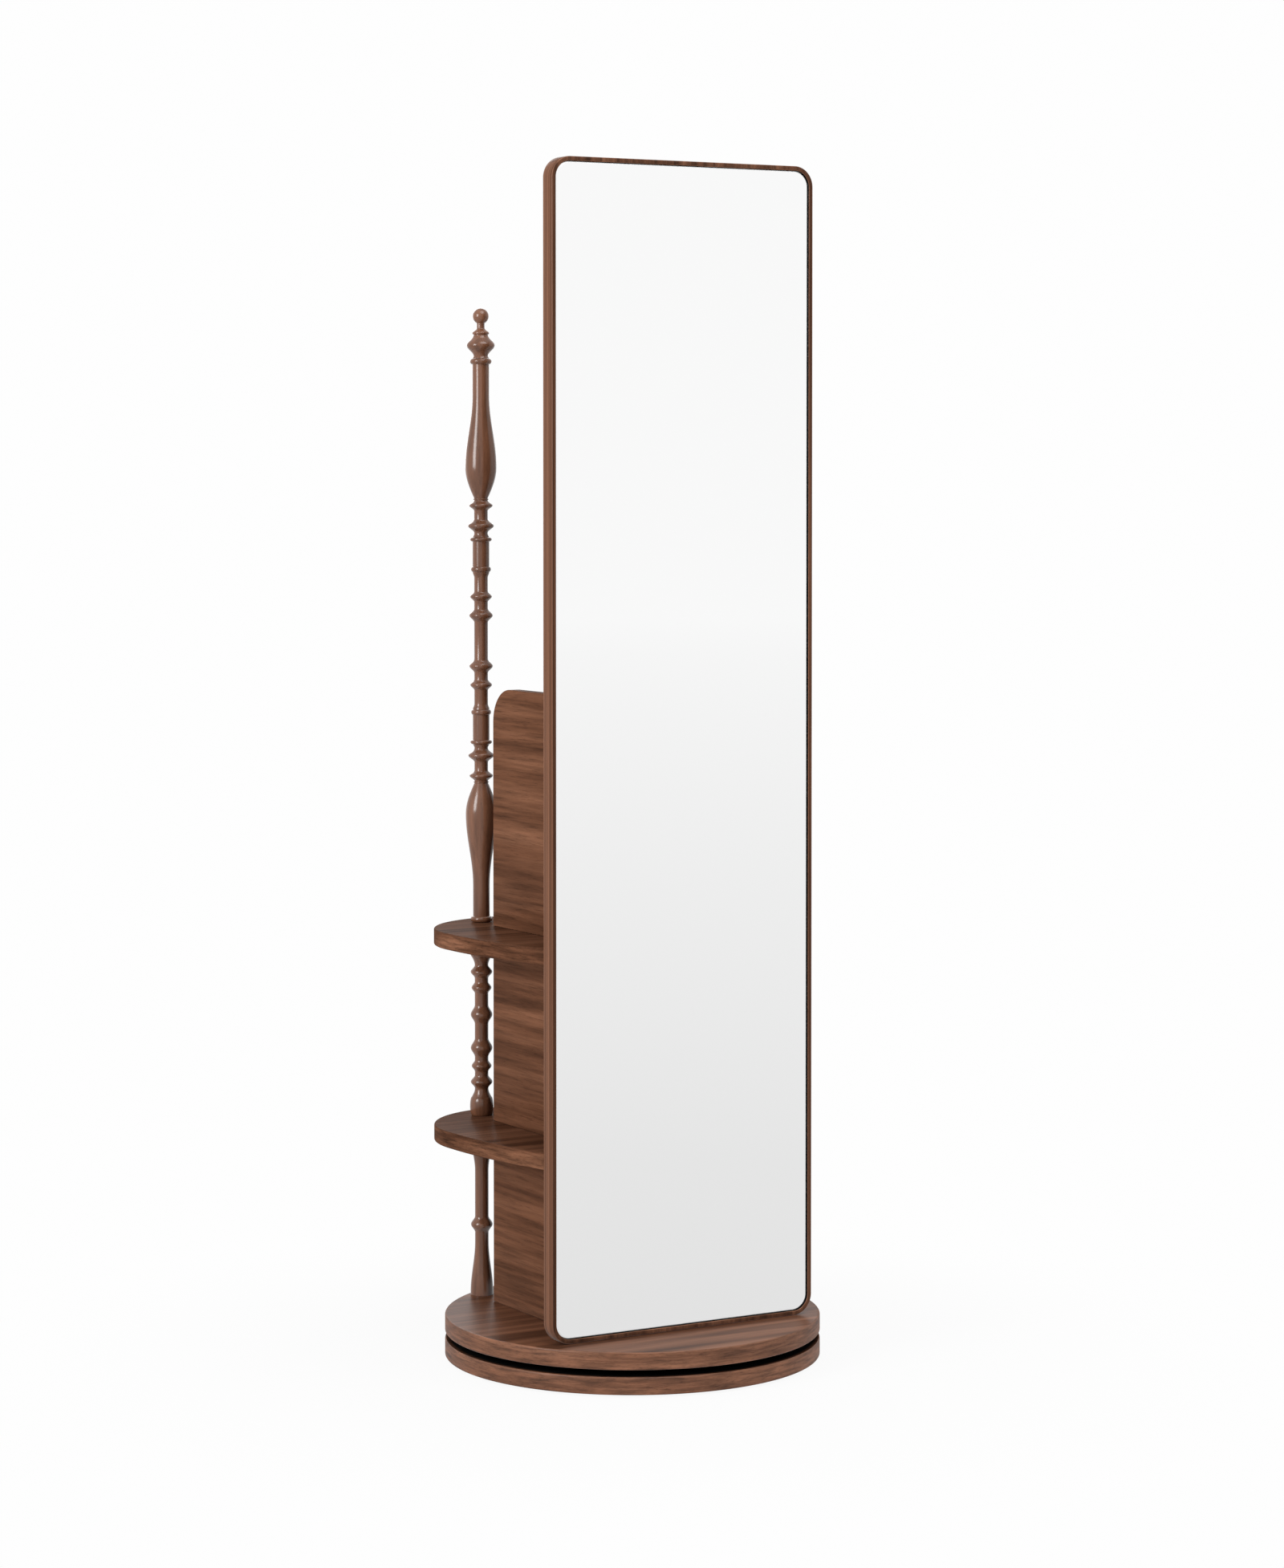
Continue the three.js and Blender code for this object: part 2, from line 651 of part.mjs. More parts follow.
// Everything on one side behind the mirror: three upright boards in line with a post of three bays.
function sideGroup(side, x) {
  const group = new THREE.Group();
  group.position.set(x, 0, 0);
  const front = mirrorBack + seat;
  const bays = [
    ['lower', turntableTop, lowerBayHeight, footRadius, lowerPostShares],
    ['middle', lowerShelfTop, middleBayHeight, narrowBeadRadius, middlePostShares],
  ];
  for (const [bay, level, height, firstRadius, shares] of bays) {
    const clear = height - 2 * seat;
    const board = piece(`${bay}_divider_${side}`, upright(clear), boardWalnut, 0, front, level + seat);
    const spindle = post(clear, firstRadius, shares);
    group.add(turnedTo(board, alongX));
    group.add(piece(`${bay}_post_${side}`, spindle, turnedWalnut, 0, postY, level + seat));
  }
  const top = upperShelfTop + seat;
  const corner = [dividerTopCorner, dividerTopFacets];
  const board = piece(`upper_divider_${side}`, upright(dividerTopHeight, corner), boardWalnut, 0, front, top);
  const column = post(upperPostLength, columnRadius, upperPostShares);
  const finialFoot = top + upperPostLength + seat;
  group.add(turnedTo(board, alongX));
  group.add(piece(`upper_post_${side}`, column, turnedWalnut, 0, postY, top));
  group.add(piece(`finial_${side}`, finial(), turnedWalnut, 0, postY, finialFoot));

  const grip = seat + studGrip;
  const studs = [
    ['turntable_stud', turntableTop - studDepth, studDepth + grip],
    ['lower_shelf_stud', lowerShelfBottom - grip, shelfThickness + 2 * grip],
    ['upper_shelf_stud', upperShelfBottom - grip, shelfThickness + 2 * grip],
  ];
  for (const [name, bottom, length] of studs) {
    group.add(piece(`${name}_${side}`, bar(studRadius, length, studFacets), steel, 0, postY, bottom));
  }
  return group;
}

// Everything that turns, from the bearing's inner ring upwards.
function turntableGroup() {
  const group = new THREE.Group();
  const ringBottom = baseTop + runningGap;
  const ring = cut(bearingRing(-1, ballLevel - ringBottom), innerScrewHoles(0));
  group.add(piece('bearing_inner_ring', ring, blackAluminium, 0, 0, ringBottom));
  innerScrewPlaces.forEach(([x, y], i) => {
    const screw = piece(`inner_ring_screw_${i + 1}`, ringScrew(), steel, x, y, ringBottom);
    group.add(turnedTo(screw, upsideDown));
  });
  group.add(piece('turntable_board', turntableBoard(), walnut, 0, 0, turntableBottom));
  group.add(mirrorGroup(), railGroup());
  group.add(bracketGroup('mirror_bracket_left', -bracketX));
  group.add(bracketGroup('mirror_bracket_right', bracketX));
  group.add(piece('lower_shelf', shelf(), walnut, 0, 0, lowerShelfBottom));
  group.add(piece('upper_shelf', shelf(), walnut, 0, 0, upperShelfBottom));
  group.add(sideGroup('left', -postX), sideGroup('right', postX));
  return group;
}

const cabinet = new THREE.Group();
cabinet.add(baseGroup(), cageGroup(), turntableGroup());

export default cabinet;
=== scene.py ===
# %% [markdown]
# # Revolving wardrobe cabinet
# A tall framed mirror stands near the front of a round turntable. Behind it are two shelves,
# upright boards, turned posts and a rail for clothes. The solids of the design are loaded first,
# as a frame that fixes every size, place and joint. Each piece is then modelled finely in its own
# place, takes its solid's place in the picture, and rides on the body that its solid belongs to.

# %% Load the solids
import math

import bmesh
import bpy
from mathutils import Matrix, Vector


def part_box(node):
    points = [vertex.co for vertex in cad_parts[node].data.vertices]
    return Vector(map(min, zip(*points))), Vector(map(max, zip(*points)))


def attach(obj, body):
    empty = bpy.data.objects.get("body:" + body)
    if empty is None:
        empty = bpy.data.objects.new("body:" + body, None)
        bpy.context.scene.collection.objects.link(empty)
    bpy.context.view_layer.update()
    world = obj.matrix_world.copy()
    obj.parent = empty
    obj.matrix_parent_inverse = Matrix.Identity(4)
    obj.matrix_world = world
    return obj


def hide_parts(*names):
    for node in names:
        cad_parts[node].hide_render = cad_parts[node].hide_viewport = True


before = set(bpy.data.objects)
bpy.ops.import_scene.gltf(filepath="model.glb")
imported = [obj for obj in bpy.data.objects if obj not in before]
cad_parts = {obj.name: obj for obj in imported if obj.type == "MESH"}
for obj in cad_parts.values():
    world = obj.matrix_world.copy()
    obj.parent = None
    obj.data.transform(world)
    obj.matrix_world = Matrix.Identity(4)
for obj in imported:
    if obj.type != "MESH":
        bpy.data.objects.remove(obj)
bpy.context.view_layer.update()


def span(node, axis):
    """Where a solid begins and ends along an axis, in millimetres."""
    return tuple(round(1000 * corner["XYZ".index(axis)], 1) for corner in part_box(node))


print("the mirror reaches from", span("mirror_frame", "Z"), "mm above the floor")

# %% [markdown]
# ## Camera
# The camera stands about five metres away, thirty degrees to the left of the mirror's front, with
# the lens at chest height and almost level, so that upright lines stay upright. A long lens keeps
# the mirror from spreading at its near edge. A small downward shift of the frame brings in the
# turntable, as a shift lens would, which tilting alone would only do with leaning uprights.

# %% Camera
CAMERA_PLACE = (-2.6376, -4.5119, 1.1873)
CAMERA_TURN = math.radians(30.45)
CAMERA_TILT = math.radians(1.818)
CAMERA_LENS = 90.41
CAMERA_SHIFT = -0.124

bpy.ops.object.select_all(action="DESELECT")
bpy.ops.object.camera_add(
    location=CAMERA_PLACE,
    rotation=(math.pi / 2 - CAMERA_TILT, 0, -CAMERA_TURN),
)
camera = bpy.context.active_object
camera.name = "studio_camera"
camera.data.lens = CAMERA_LENS
camera.data.shift_y = CAMERA_SHIFT
camera.data.dof.use_dof = False
bpy.context.scene.camera = camera
bpy.context.scene.view_settings.view_transform = "Standard"
print("camera looks along", tuple(round(v, 3) for v in -camera.matrix_world.col[2].xyz))

# %% [markdown]
# ## Nodes
# Every material here is a small network of nodes. One helper adds a node, sets its options, and
# fills its inputs: a plain value is typed in, and an output of another node is linked. The others
# stand for the few kinds of node that come back again and again. That keeps each network readable
# as a list of steps.


# %% Helpers for nodes
def add_node(tree, kind, inputs=None, **options):
    node = tree.nodes.new(kind)
    for name, value in options.items():
        setattr(node, name, value)
    for name, value in (inputs or {}).items():
        if isinstance(value, bpy.types.NodeSocket):
            tree.links.new(value, node.inputs[name])
        else:
            node.inputs[name].default_value = value
    return node


def math_node(tree, operation, *values):
    inputs = dict(enumerate(values))
    return add_node(tree, "ShaderNodeMath", inputs, operation=operation).outputs[0]


def vector_length(tree, vector):
    node = add_node(tree, "ShaderNodeVectorMath", {0: vector}, operation="LENGTH")
    return node.outputs["Value"]


def remap(tree, value, low, high, start=0.0, end=1.0, **options):
    """Carries the range from low to high over to the range from start to end."""
    inputs = {"Value": value, "From Min": low, "From Max": high, "To Min": start, "To Max": end}
    return add_node(tree, "ShaderNodeMapRange", inputs, **options).outputs["Result"]


def as_color(value):
    """The four numbers of a colour, from one grey or from red, green and blue."""
    return (*value, 1) if isinstance(value, tuple) else (value, value, value, 1)


def ramp(tree, value, *stops):
    """A ramp of colours, where each stop is a position and a grey or a colour."""
    node = add_node(tree, "ShaderNodeValToRGB", {"Fac": value})
    elements = node.color_ramp.elements
    while len(elements) < len(stops):
        elements.new(0.5)
    for element, (position, color) in zip(elements, stops):
        element.position = position
        element.color = as_color(color)
    return node.outputs["Color"]


def mix_colors(tree, factor, first, second, **options):
    inputs = {0: factor, 6: first, 7: second}
    return add_node(tree, "ShaderNodeMix", inputs, data_type="RGBA", **options).outputs[2]


def object_place(tree):
    return add_node(tree, "ShaderNodeTexCoord").outputs["Object"]


def noise(tree, place, scale, detail, roughness=0.5, distortion=0.0):
    inputs = {
        "Vector": place,
        "Scale": scale,
        "Detail": detail,
        "Roughness": roughness,
        "Distortion": distortion,
    }
    return add_node(tree, "ShaderNodeTexNoise", inputs).outputs[0]


def bump(tree, height, strength, distance):
    inputs = {"Height": height, "Strength": strength, "Distance": distance}
    return add_node(tree, "ShaderNodeBump", inputs).outputs[0]


# %% [markdown]
# A material starts with an empty network and ends with its output. Most of them put all that they
# worked out into one Principled shader.


# %% Helpers for materials
def new_material(name):
    material = bpy.data.materials.new(name)
    material.use_nodes = True
    material.node_tree.nodes.clear()
    return material, material.node_tree


def finish_material(material, surface):
    add_node(material.node_tree, "ShaderNodeOutputMaterial", {"Surface": surface})
    print(material.name, "-", len(material.node_tree.nodes), "nodes")


def principled(material, inputs):
    shader = add_node(material.node_tree, "ShaderNodeBsdfPrincipled", inputs)
    finish_material(material, shader.outputs[0])


# %% [markdown]
# ## Studio
# A product picture is often taken in front of an endless white sweep. The world gives a soft light
# from all sides. To the camera, and in anything that mirrors it, the same world shows as plain
# paper white, a touch darker in a mirror. So the brightness of the background and the light on the
# wood are set apart.

# %% World
PAPER = 0.99
MIRRORED_PAPER = 0.968
WORLD_LIGHT = 0.33

world = bpy.data.worlds.new("studio_world")
world.use_nodes = True
world.node_tree.nodes.clear()
bpy.context.scene.world = world


def seen_directly(tree):
    """One where the camera looks, also by way of a mirror, and nought for the light on things."""
    rays = add_node(tree, "ShaderNodeLightPath").outputs
    seen = math_node(tree, "ADD", rays["Is Camera Ray"], rays["Is Glossy Ray"])
    seen = math_node(tree, "ADD", seen, rays["Is Transmission Ray"])
    return math_node(tree, "MINIMUM", seen, 1.0)


sky = world.node_tree
mirrored = add_node(sky, "ShaderNodeLightPath").outputs["Is Glossy Ray"]
paper_light = math_node(sky, "MULTIPLY_ADD", mirrored, MIRRORED_PAPER - PAPER, PAPER)
strength = remap(sky, seen_directly(sky), 0, 1, WORLD_LIGHT, paper_light)
background = add_node(sky, "ShaderNodeBackground", {"Color": as_color(1), "Strength": strength})
add_node(sky, "ShaderNodeOutputWorld", {"Surface": background.outputs[0]})
print("world light:", WORLD_LIGHT)

# %% [markdown]
# ## Floor
# The floor is pale and keeps the object's soft shadow. Part of what the camera sees of it is its
# own white, and part is the light that falls on it, so that the shadow stays light. Further out
# only the white is left, and the floor melts into the background. The mirror sees the floor too.
# There it carries painted shade, greyer the nearer it is to the cabinet, and that gives the mirror
# the quiet grey of its lower half.

# %% Floor
FLOOR_SIZE = 80
FLOOR_LEVEL = -0.0002
FLOOR_GREY = 0.8
SHADOW_SHARE = 0.06
SHADOW_REACH = (0.3, 0.9)
MIRRORED_FLOOR_SHADE = (
    (0.03, 0.781),
    (0.35, 0.806),
    (0.64, 0.871),
    (0.94, 0.945),
    (1.0, MIRRORED_PAPER),
)
MIRRORED_REACH = (0.4, 25.0)

bpy.ops.object.select_all(action="DESELECT")
bpy.ops.mesh.primitive_plane_add(size=FLOOR_SIZE, location=(0, 0, FLOOR_LEVEL))
floor = bpy.context.active_object
floor.name = "studio_floor"

paper, tree = new_material("floor_paper")
distance = vector_length(tree, object_place(tree))
share = remap(tree, distance, *SHADOW_REACH, 1 - SHADOW_SHARE, 1, interpolation_type="SMOOTHSTEP")
nearest, furthest = (math.log(reach) for reach in MIRRORED_REACH)
reach = remap(tree, math_node(tree, "LOGARITHM", distance, math.e), nearest, furthest)
rays = add_node(tree, "ShaderNodeLightPath").outputs
# Painted shade in the mirror: the floor greyer the nearer it is to the cabinet.
painted_shade_greys = ramp(tree, reach, *MIRRORED_FLOOR_SHADE)
shown = mix_colors(tree, rays["Is Glossy Ray"], as_color(PAPER), painted_shade_greys)
white = add_node(tree, "ShaderNodeEmission", {"Color": shown}).outputs[0]
lit = add_node(tree, "ShaderNodeBsdfDiffuse", {"Color": as_color(FLOOR_GREY)}).outputs[0]
white_share = math_node(tree, "MAXIMUM", share, rays["Is Glossy Ray"])
white_share = math_node(tree, "MULTIPLY", white_share, seen_directly(tree))
surface = add_node(tree, "ShaderNodeMixShader", {0: white_share, 1: lit, 2: white})
finish_material(paper, surface.outputs[0])
floor.data.materials.append(paper)

# %% [markdown]
# ## Lamps
# Four large soft lamps surround the cabinet. The strongest stands to its left. It is tall, which
# draws one long highlight down the left of every turned post. A weaker one on the right lights the
# front faces. The mirror would show it, so it is hidden from reflections. One hangs overhead for
# the tops of the boards, and one behind lights the open side. Each has a place, a width and
# height, and a power in watts.

# %% Lamps
LAMPS = {
    "key_lamp": ((-4.0, -0.6, 2.1), (1.5, 2.2), 122),
    "front_lamp": ((2.8, -3.6, 1.6), (2.0, 2.0), 50),
    "top_lamp": ((0.0, -1.5, 3.8), (2.0, 2.0), 50),
    "rear_lamp": ((1.4, 3.8, 2.2), (2.4, 2.2), 38),
}
LAMP_AIM = Vector((0, 0, 0.75))

for name, (position, (width, height), power) in LAMPS.items():
    bpy.ops.object.select_all(action="DESELECT")
    away = Vector(position) - LAMP_AIM
    bpy.ops.object.light_add(
        type="AREA",
        location=position,
        rotation=away.to_track_quat("Z", "Y").to_euler(),
    )
    lamp = bpy.context.active_object
    lamp.name = name
    lamp.data.shape = "RECTANGLE"
    lamp.data.size, lamp.data.size_y = width, height
    lamp.data.energy = power
    lamp.visible_camera = False
    lamp.visible_glossy = name != "front_lamp"
    print(name, "at", round(away.length, 2), "m,", power, "W")

# %% [markdown]
# ## Walnut
# The boards are veneered in walnut, and the posts are turned from it. Walnut is a brown wood with
# darker and lighter bands that run along the grain, fine streaks inside the bands, and short open
# pores. All three come from noise that is stretched along the grain. A pattern in three dimensions
# runs on from face to face as it does in solid wood, and no two pieces are alike, because each
# lies elsewhere in the pattern.
#
# The stretch is given as how many times per metre the pattern changes along X, Y and Z. For an
# edge band, which bends round a board, both level directions are slow, so that the grain follows
# the bend. The path is for the mirror's frame, which gets a map of its own further down: its first
# direction runs along the frame. Each layer of noise has its own pace, which multiplies the
# stretch, its detail and its roughness.

# %% Grain
GRAIN = {
    "X": (1, 24, 24),
    "Y": (24, 1, 24),
    "Z": (24, 24, 1),
    "rim": (3, 3, 34),
    "path": (1, 32, 1),
}
BANDS = (1.6, 3, 0.5)
STREAKS = (7.0, 5, 0.6)
PORES = (42.0, 2, 0.5)
FIBRES = (7.0, 4, 0.6)


def stretched_noise(tree, place, grain, layer, distortion):
    pace, detail, roughness = layer
    scale = tuple(pace * stretch for stretch in GRAIN[grain])
    mapped = add_node(tree, "ShaderNodeMapping", {"Vector": place, "Scale": scale}).outputs[0]
    return noise(tree, mapped, 1, detail, roughness, distortion)


print("directions of grain:", ", ".join(GRAIN))

# %% [markdown]
# The bands blend three browns. Streaks and pores are multiplied in: streaks make the wood a little
# darker or lighter, and pores only darken it. The same noise gives a very low relief, and makes
# the lighter streaks a little smoother. The satin lacquer is a thin clear coat over all of it.
#
# Each use of the wood sets how light it is, how rough and thick its lacquer, how strong the bands
# (figure) and the streaks, and how far the bands wander (flow).

# %% Walnut
DARK, MIDDLE, LIGHT = (
    (0.070, 0.0285, 0.0150),
    (0.145, 0.0615, 0.0330),
    (0.228, 0.1030, 0.0580),
)
BAND_SPREAD = 0.17
BAND_STOPS = ((-1.1, DARK), (-0.1, MIDDLE), (1.1, LIGHT))
STREAK_STOPS = ((0.34, 0.5), (0.5, 0.95), (0.66, 1.3))
STREAK_FLOW = 0.6
PORE_STOPS = ((0.3, 0.4), (0.43, 1.0))
PORE_SHARE = 0.75
STREAK_RANGE = (0.35, 0.65)
WOOD_ROUGHNESS = (0.66, 0.54)
PORE_HEIGHT = 0.5
WOOD_BUMP = (0.02, 0.0004)


def walnut(
    name, grain, lightness=1.0, roughness=0.3, lacquer=0.12, figure=1.0, streak=1.0, flow=0.25
):
    material, tree = new_material(name)
    coordinates = add_node(tree, "ShaderNodeTexCoord").outputs
    place = coordinates["UV"] if grain == "path" else coordinates["Object"]
    bands = stretched_noise(tree, place, grain, BANDS, flow)
    streaks = stretched_noise(tree, place, grain, STREAKS, STREAK_FLOW * flow)
    pores = stretched_noise(tree, place, grain, PORES, 0.0)

    def multiply(color, stops, value, factor):
        return mix_colors(tree, factor, color, ramp(tree, value, *stops), blend_type="MULTIPLY")

    browns = [
        (0.5 + offset * BAND_SPREAD / figure, tuple(lightness * channel for channel in tone))
        for offset, tone in BAND_STOPS
    ]
    color = ramp(tree, bands, *browns)
    color = multiply(color, STREAK_STOPS, streaks, streak)
    color = multiply(color, PORE_STOPS, pores, PORE_SHARE * streak)
    relief = bump(tree, math_node(tree, "MULTIPLY_ADD", pores, PORE_HEIGHT, streaks), *WOOD_BUMP)
    principled(
        material,
        {
            "Base Color": color,
            "Roughness": remap(tree, streaks, *STREAK_RANGE, *WOOD_ROUGHNESS),
            "Specular IOR Level": 0.0,
            "Coat Weight": lacquer,
            "Coat Roughness": roughness,
            "Normal": relief,
            "Coat Normal": relief,
        },
    )
    return material


# %% The cabinet's woods
disc_top = walnut(
    "walnut_disc_top", "X", lightness=1.1, roughness=0.34, lacquer=0.34, streak=0.45
)
disc_edge = walnut(
    "walnut_disc_edge", "rim", lightness=1.3, roughness=0.38, lacquer=0.5, figure=0.45, flow=0.6
)
shelf_top = walnut(
    "walnut_shelf_top", "X", lightness=0.85, lacquer=0.08, figure=0.8, streak=0.7
)
shelf_edge = walnut(
    "walnut_shelf_edge", "rim", lightness=0.95, lacquer=0.06, figure=1.1, flow=0.6
)
upright_face = walnut("walnut_upright_face", "Y", lacquer=0.06, figure=0.65, streak=0.7)
upright_edge = walnut("walnut_upright_edge", "Z", lightness=0.95, lacquer=0.1)
# Frame: painted light on the side, painted shade on the front, a painted highlight on the round.
frame_side_painted_light = walnut(
    "walnut_frame_side", "path", lightness=1.25, roughness=0.26, lacquer=0.25, figure=1.6
)
frame_front_painted_shade = walnut("walnut_frame_front", "path", lightness=0.8, lacquer=0.15)
frame_arris_painted_highlight = walnut("walnut_frame_arris", "path", lightness=1.6, lacquer=0.5)
back_wood = walnut("walnut_back", "Z", lightness=0.9, lacquer=0.08)
turned_wood = walnut(
    "walnut_turned", "Z", lightness=1.2, roughness=0.2, lacquer=1.0, figure=0.5, streak=0.45
)

# %% [markdown]
# The slot between the two round boards looks black. Their faces towards it carry painted shade,
# near black, so that the bearing does not catch the eye. The painted shade fades to brown in the
# last few millimetres before the rim, so the distance from the axis decides between the two.

# %% Painted shade in the slot
SHADE_FADE = (0.242, 0.25)
SHADE_FLOW = 0.2
SHADE_TONES = ((0.35, 0.004), (0.65, 0.01))
FADED_TONES = ((0.35, DARK), (0.65, MIDDLE))
SHADE_ROUGHNESS = (0.8, 0.95)

painted_shade, tree = new_material("painted_shade_black")
place = object_place(tree)
level = add_node(tree, "ShaderNodeVectorMath", {0: place, 1: (1, 1, 0)}, operation="MULTIPLY")
fade = remap(tree, vector_length(tree, level.outputs[0]), *SHADE_FADE)
fibres = stretched_noise(tree, place, "X", FIBRES, SHADE_FLOW)
black_shade, faded = (ramp(tree, fibres, *tones) for tones in (SHADE_TONES, FADED_TONES))
principled(
    painted_shade,
    {
        "Base Color": mix_colors(tree, fade, black_shade, faded),
        "Roughness": remap(tree, fibres, 0, 1, *SHADE_ROUGHNESS),
        "Specular IOR Level": 0.0,
    },
)

# %% [markdown]
# ## Mirror, metal, nylon and felt
# The mirror is glass with a silver layer behind it. What one sees of it is the clean reflection,
# so a very smooth metal surface stands for both. Its ground rim is the same metal, but rough, and
# so it shows as a soft white line. The screws and brackets are zinc-plated steel with a faint
# mottle. The bearing's rings are black anodised aluminium, since nothing glints in the slot of the
# real cabinet. The ball cage is dull nylon with steel balls, and the pads under the base are dense
# felt.

# %% Mirror
SILVER = (0.972, 0.973, 0.972)
RIPPLE = (1.2, 0)
SILVER_ROUGHNESS = (0.012, 0.022)
GRIT = (900, 3)
GROUND_TONES = ((0.3, 0.93), (0.7, 0.99))
GROUND_ROUGHNESS = (0.2, 0.3)

silvered, tree = new_material("silvered_glass")
ripple = noise(tree, object_place(tree), *RIPPLE)
principled(
    silvered,
    {
        "Base Color": as_color(SILVER),
        "Metallic": 1.0,
        "Roughness": remap(tree, ripple, 0, 1, *SILVER_ROUGHNESS),
    },
)

ground, tree = new_material("ground_rim")
grit = noise(tree, object_place(tree), *GRIT)
principled(
    ground,
    {
        "Base Color": ramp(tree, grit, *GROUND_TONES),
        "Metallic": 1.0,
        "Roughness": remap(tree, grit, 0, 1, *GROUND_ROUGHNESS),
    },
)

# %% Steel
MOTTLE = (700, 3)
STEEL_TONES = ((0.35, (0.516, 0.5246, 0.5332)), (0.65, (0.648, 0.6588, 0.6696)))
STEEL_ROUGHNESS = (0.22, 0.38)
STEEL_BUMP = (0.1, 0.0001)

steel, tree = new_material("zinc_plated_steel")
mottle = noise(tree, object_place(tree), *MOTTLE)
principled(
    steel,
    {
        "Base Color": ramp(tree, mottle, *STEEL_TONES),
        "Metallic": 1.0,
        "Roughness": remap(tree, mottle, 0, 1, *STEEL_ROUGHNESS),
        "Normal": bump(tree, mottle, *STEEL_BUMP),
    },
)


# %% Black rings, nylon and felt
SPECKLE_DETAIL = 5
SPECKLE_STOPS = (0.35, 0.65)
SPECKLE_BUMP = 0.5


def dull(name, dark, light, scale, roughness, depth, sheen=0.0):
    material, tree = new_material(name)
    speckle = noise(tree, object_place(tree), scale, SPECKLE_DETAIL)
    principled(
        material,
        {
            "Base Color": ramp(tree, speckle, *zip(SPECKLE_STOPS, (dark, light))),
            "Roughness": roughness,
            "Sheen Weight": sheen,
            "Normal": bump(tree, speckle, SPECKLE_BUMP, depth),
        },
    )
    return material


blackened = dull("black_anodised_rings", 0.006, 0.014, 1800, 0.6, 0.00002)
nylon = dull("cage_nylon", (0.6, 0.58, 0.53), (0.72, 0.7, 0.65), 900, 0.5, 0.00003)
felt = dull("pad_felt", (0.02, 0.016, 0.014), (0.06, 0.05, 0.045), 1400, 0.95, 0.0003, sheen=0.4)

# %% [markdown]
# ## Modelling by hand, in code
# The same few moves make every piece: start from a primitive, go into edit mode, pick faces or
# edges by where they lie, and bevel, inset, extrude or spin them. Picking by place is what the eye
# does on the screen. A finished piece keeps its place in its mesh, takes its wood or metal, and
# rides on the body of the solid that it stands for.

# %% Helpers for modelling
NEAR = 0.001
SHARP = math.radians(50)


def mm(length):
    return length / 1000


def choose(piece):
    """Leaves edit mode and selects one piece and nothing else."""
    if bpy.context.mode != "OBJECT":
        bpy.ops.object.mode_set(mode="OBJECT")
    bpy.ops.object.select_all(action="DESELECT")
    piece.select_set(True)
    bpy.context.view_layer.objects.active = piece


def added(primitive, **options):
    """Adds a primitive with nothing else selected, and puts its place into its mesh."""
    bpy.ops.object.select_all(action="DESELECT")
    primitive(**options)
    bpy.ops.object.transform_apply(location=True, rotation=True, scale=True)
    return bpy.context.active_object


def edit_only(piece):
    choose(piece)
    bpy.ops.object.mode_set(mode="EDIT")
    bpy.ops.mesh.select_all(action="DESELECT")


def pick(piece, kind, test):
    """Selects the vertices, edges or faces for which the test holds, and nothing else."""
    bpy.ops.mesh.select_mode(type={"verts": "VERT", "edges": "EDGE", "faces": "FACE"}[kind])
    bpy.ops.mesh.select_all(action="DESELECT")
    mesh = bmesh.from_edit_mesh(piece.data)
    for element in getattr(mesh, kind):
        if test(element):
            element.select_set(True)
    mesh.select_flush_mode()
    bmesh.update_edit_mesh(piece.data)


def run(edge, axis):
    """How far an edge runs along an axis, in metres."""
    start, end = (vertex.co["XYZ".index(axis)] for vertex in edge.verts)
    return abs(start - end)


def box(low, high):
    """A cube primitive that fills the space between two corners, in millimetres."""
    centre = [mm(a + b) / 2 for a, b in zip(low, high)]
    size = [mm(b - a) for a, b in zip(low, high)]
    return added(bpy.ops.mesh.primitive_cube_add, size=1, location=centre, scale=size)


# %% [markdown]
# Some outlines are drawn instead: a single vertex is extruded from point to point, as one would
# click along a drawing. A post is such a line, spun about its axis.


# %% Helper for drawn outlines
def drawn(points, close):
    """A line of vertices through the points, in metres. The piece stays in edit mode."""
    piece = added(bpy.ops.mesh.primitive_plane_add, size=mm(1), location=points[0])
    edit_only(piece)
    bpy.ops.mesh.select_mode(type="VERT")
    bpy.ops.mesh.select_all(action="SELECT")
    bpy.ops.mesh.merge(type="CENTER")
    for start, end in zip(points, points[1:]):
        step = Vector(end) - Vector(start)
        bpy.ops.mesh.extrude_vertices_move(TRANSFORM_OT_translate={"value": step})
    bpy.ops.mesh.select_all(action="SELECT")
    if close:
        bpy.ops.mesh.edge_face_add()
    return piece


# %% [markdown]
# The last moves are the same for all: a modifier rounds or cuts the piece and is applied, faces
# are given their material by where they look, and the piece is smoothed, named and put in the
# place of its solid. A normal of 0.9 along an axis already counts as facing it.

# %% Helpers for finishing
FACING = 0.9


def modified(piece, kind, **settings):
    """Adds a modifier with these settings and applies it."""
    choose(piece)
    bpy.ops.object.modifier_add(type=kind)
    modifier = piece.modifiers[-1]
    for name, value in settings.items():
        setattr(modifier, name, value)
    bpy.ops.object.modifier_apply(modifier=modifier.name)


def soften(piece, width, segments=3):
    """Rounds every sharp edge, by a width in millimetres."""
    modified(
        piece,
        "BEVEL",
        width=mm(width),
        segments=segments,
        limit_method="ANGLE",
        angle_limit=SHARP,
    )


def copied(piece, x=0, y=0, z=0):
    """A copy with its own mesh, moved by so many millimetres."""
    twin = piece.copy()
    twin.data = piece.data.copy()
    bpy.context.scene.collection.objects.link(twin)
    twin.data.transform(Matrix.Translation((mm(x), mm(y), mm(z))))
    return twin


def band(piece, index, test):
    """Gives the faces for which the test holds the piece's material of that index."""
    for face in piece.data.polygons:
        if test(face):
            face.material_index = index


def finish(piece, name, node, materials, body="turntable", angle=35):
    """Smooths, names and dresses a piece, and lets it stand for a solid."""
    choose(piece)
    bpy.ops.object.shade_smooth_by_angle(angle=math.radians(angle))
    piece.name = piece.data.name = name
    for material in materials:
        piece.data.materials.append(material)
    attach(piece, body)
    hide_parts(node)
    print(name, "-", len(piece.data.polygons), "faces")


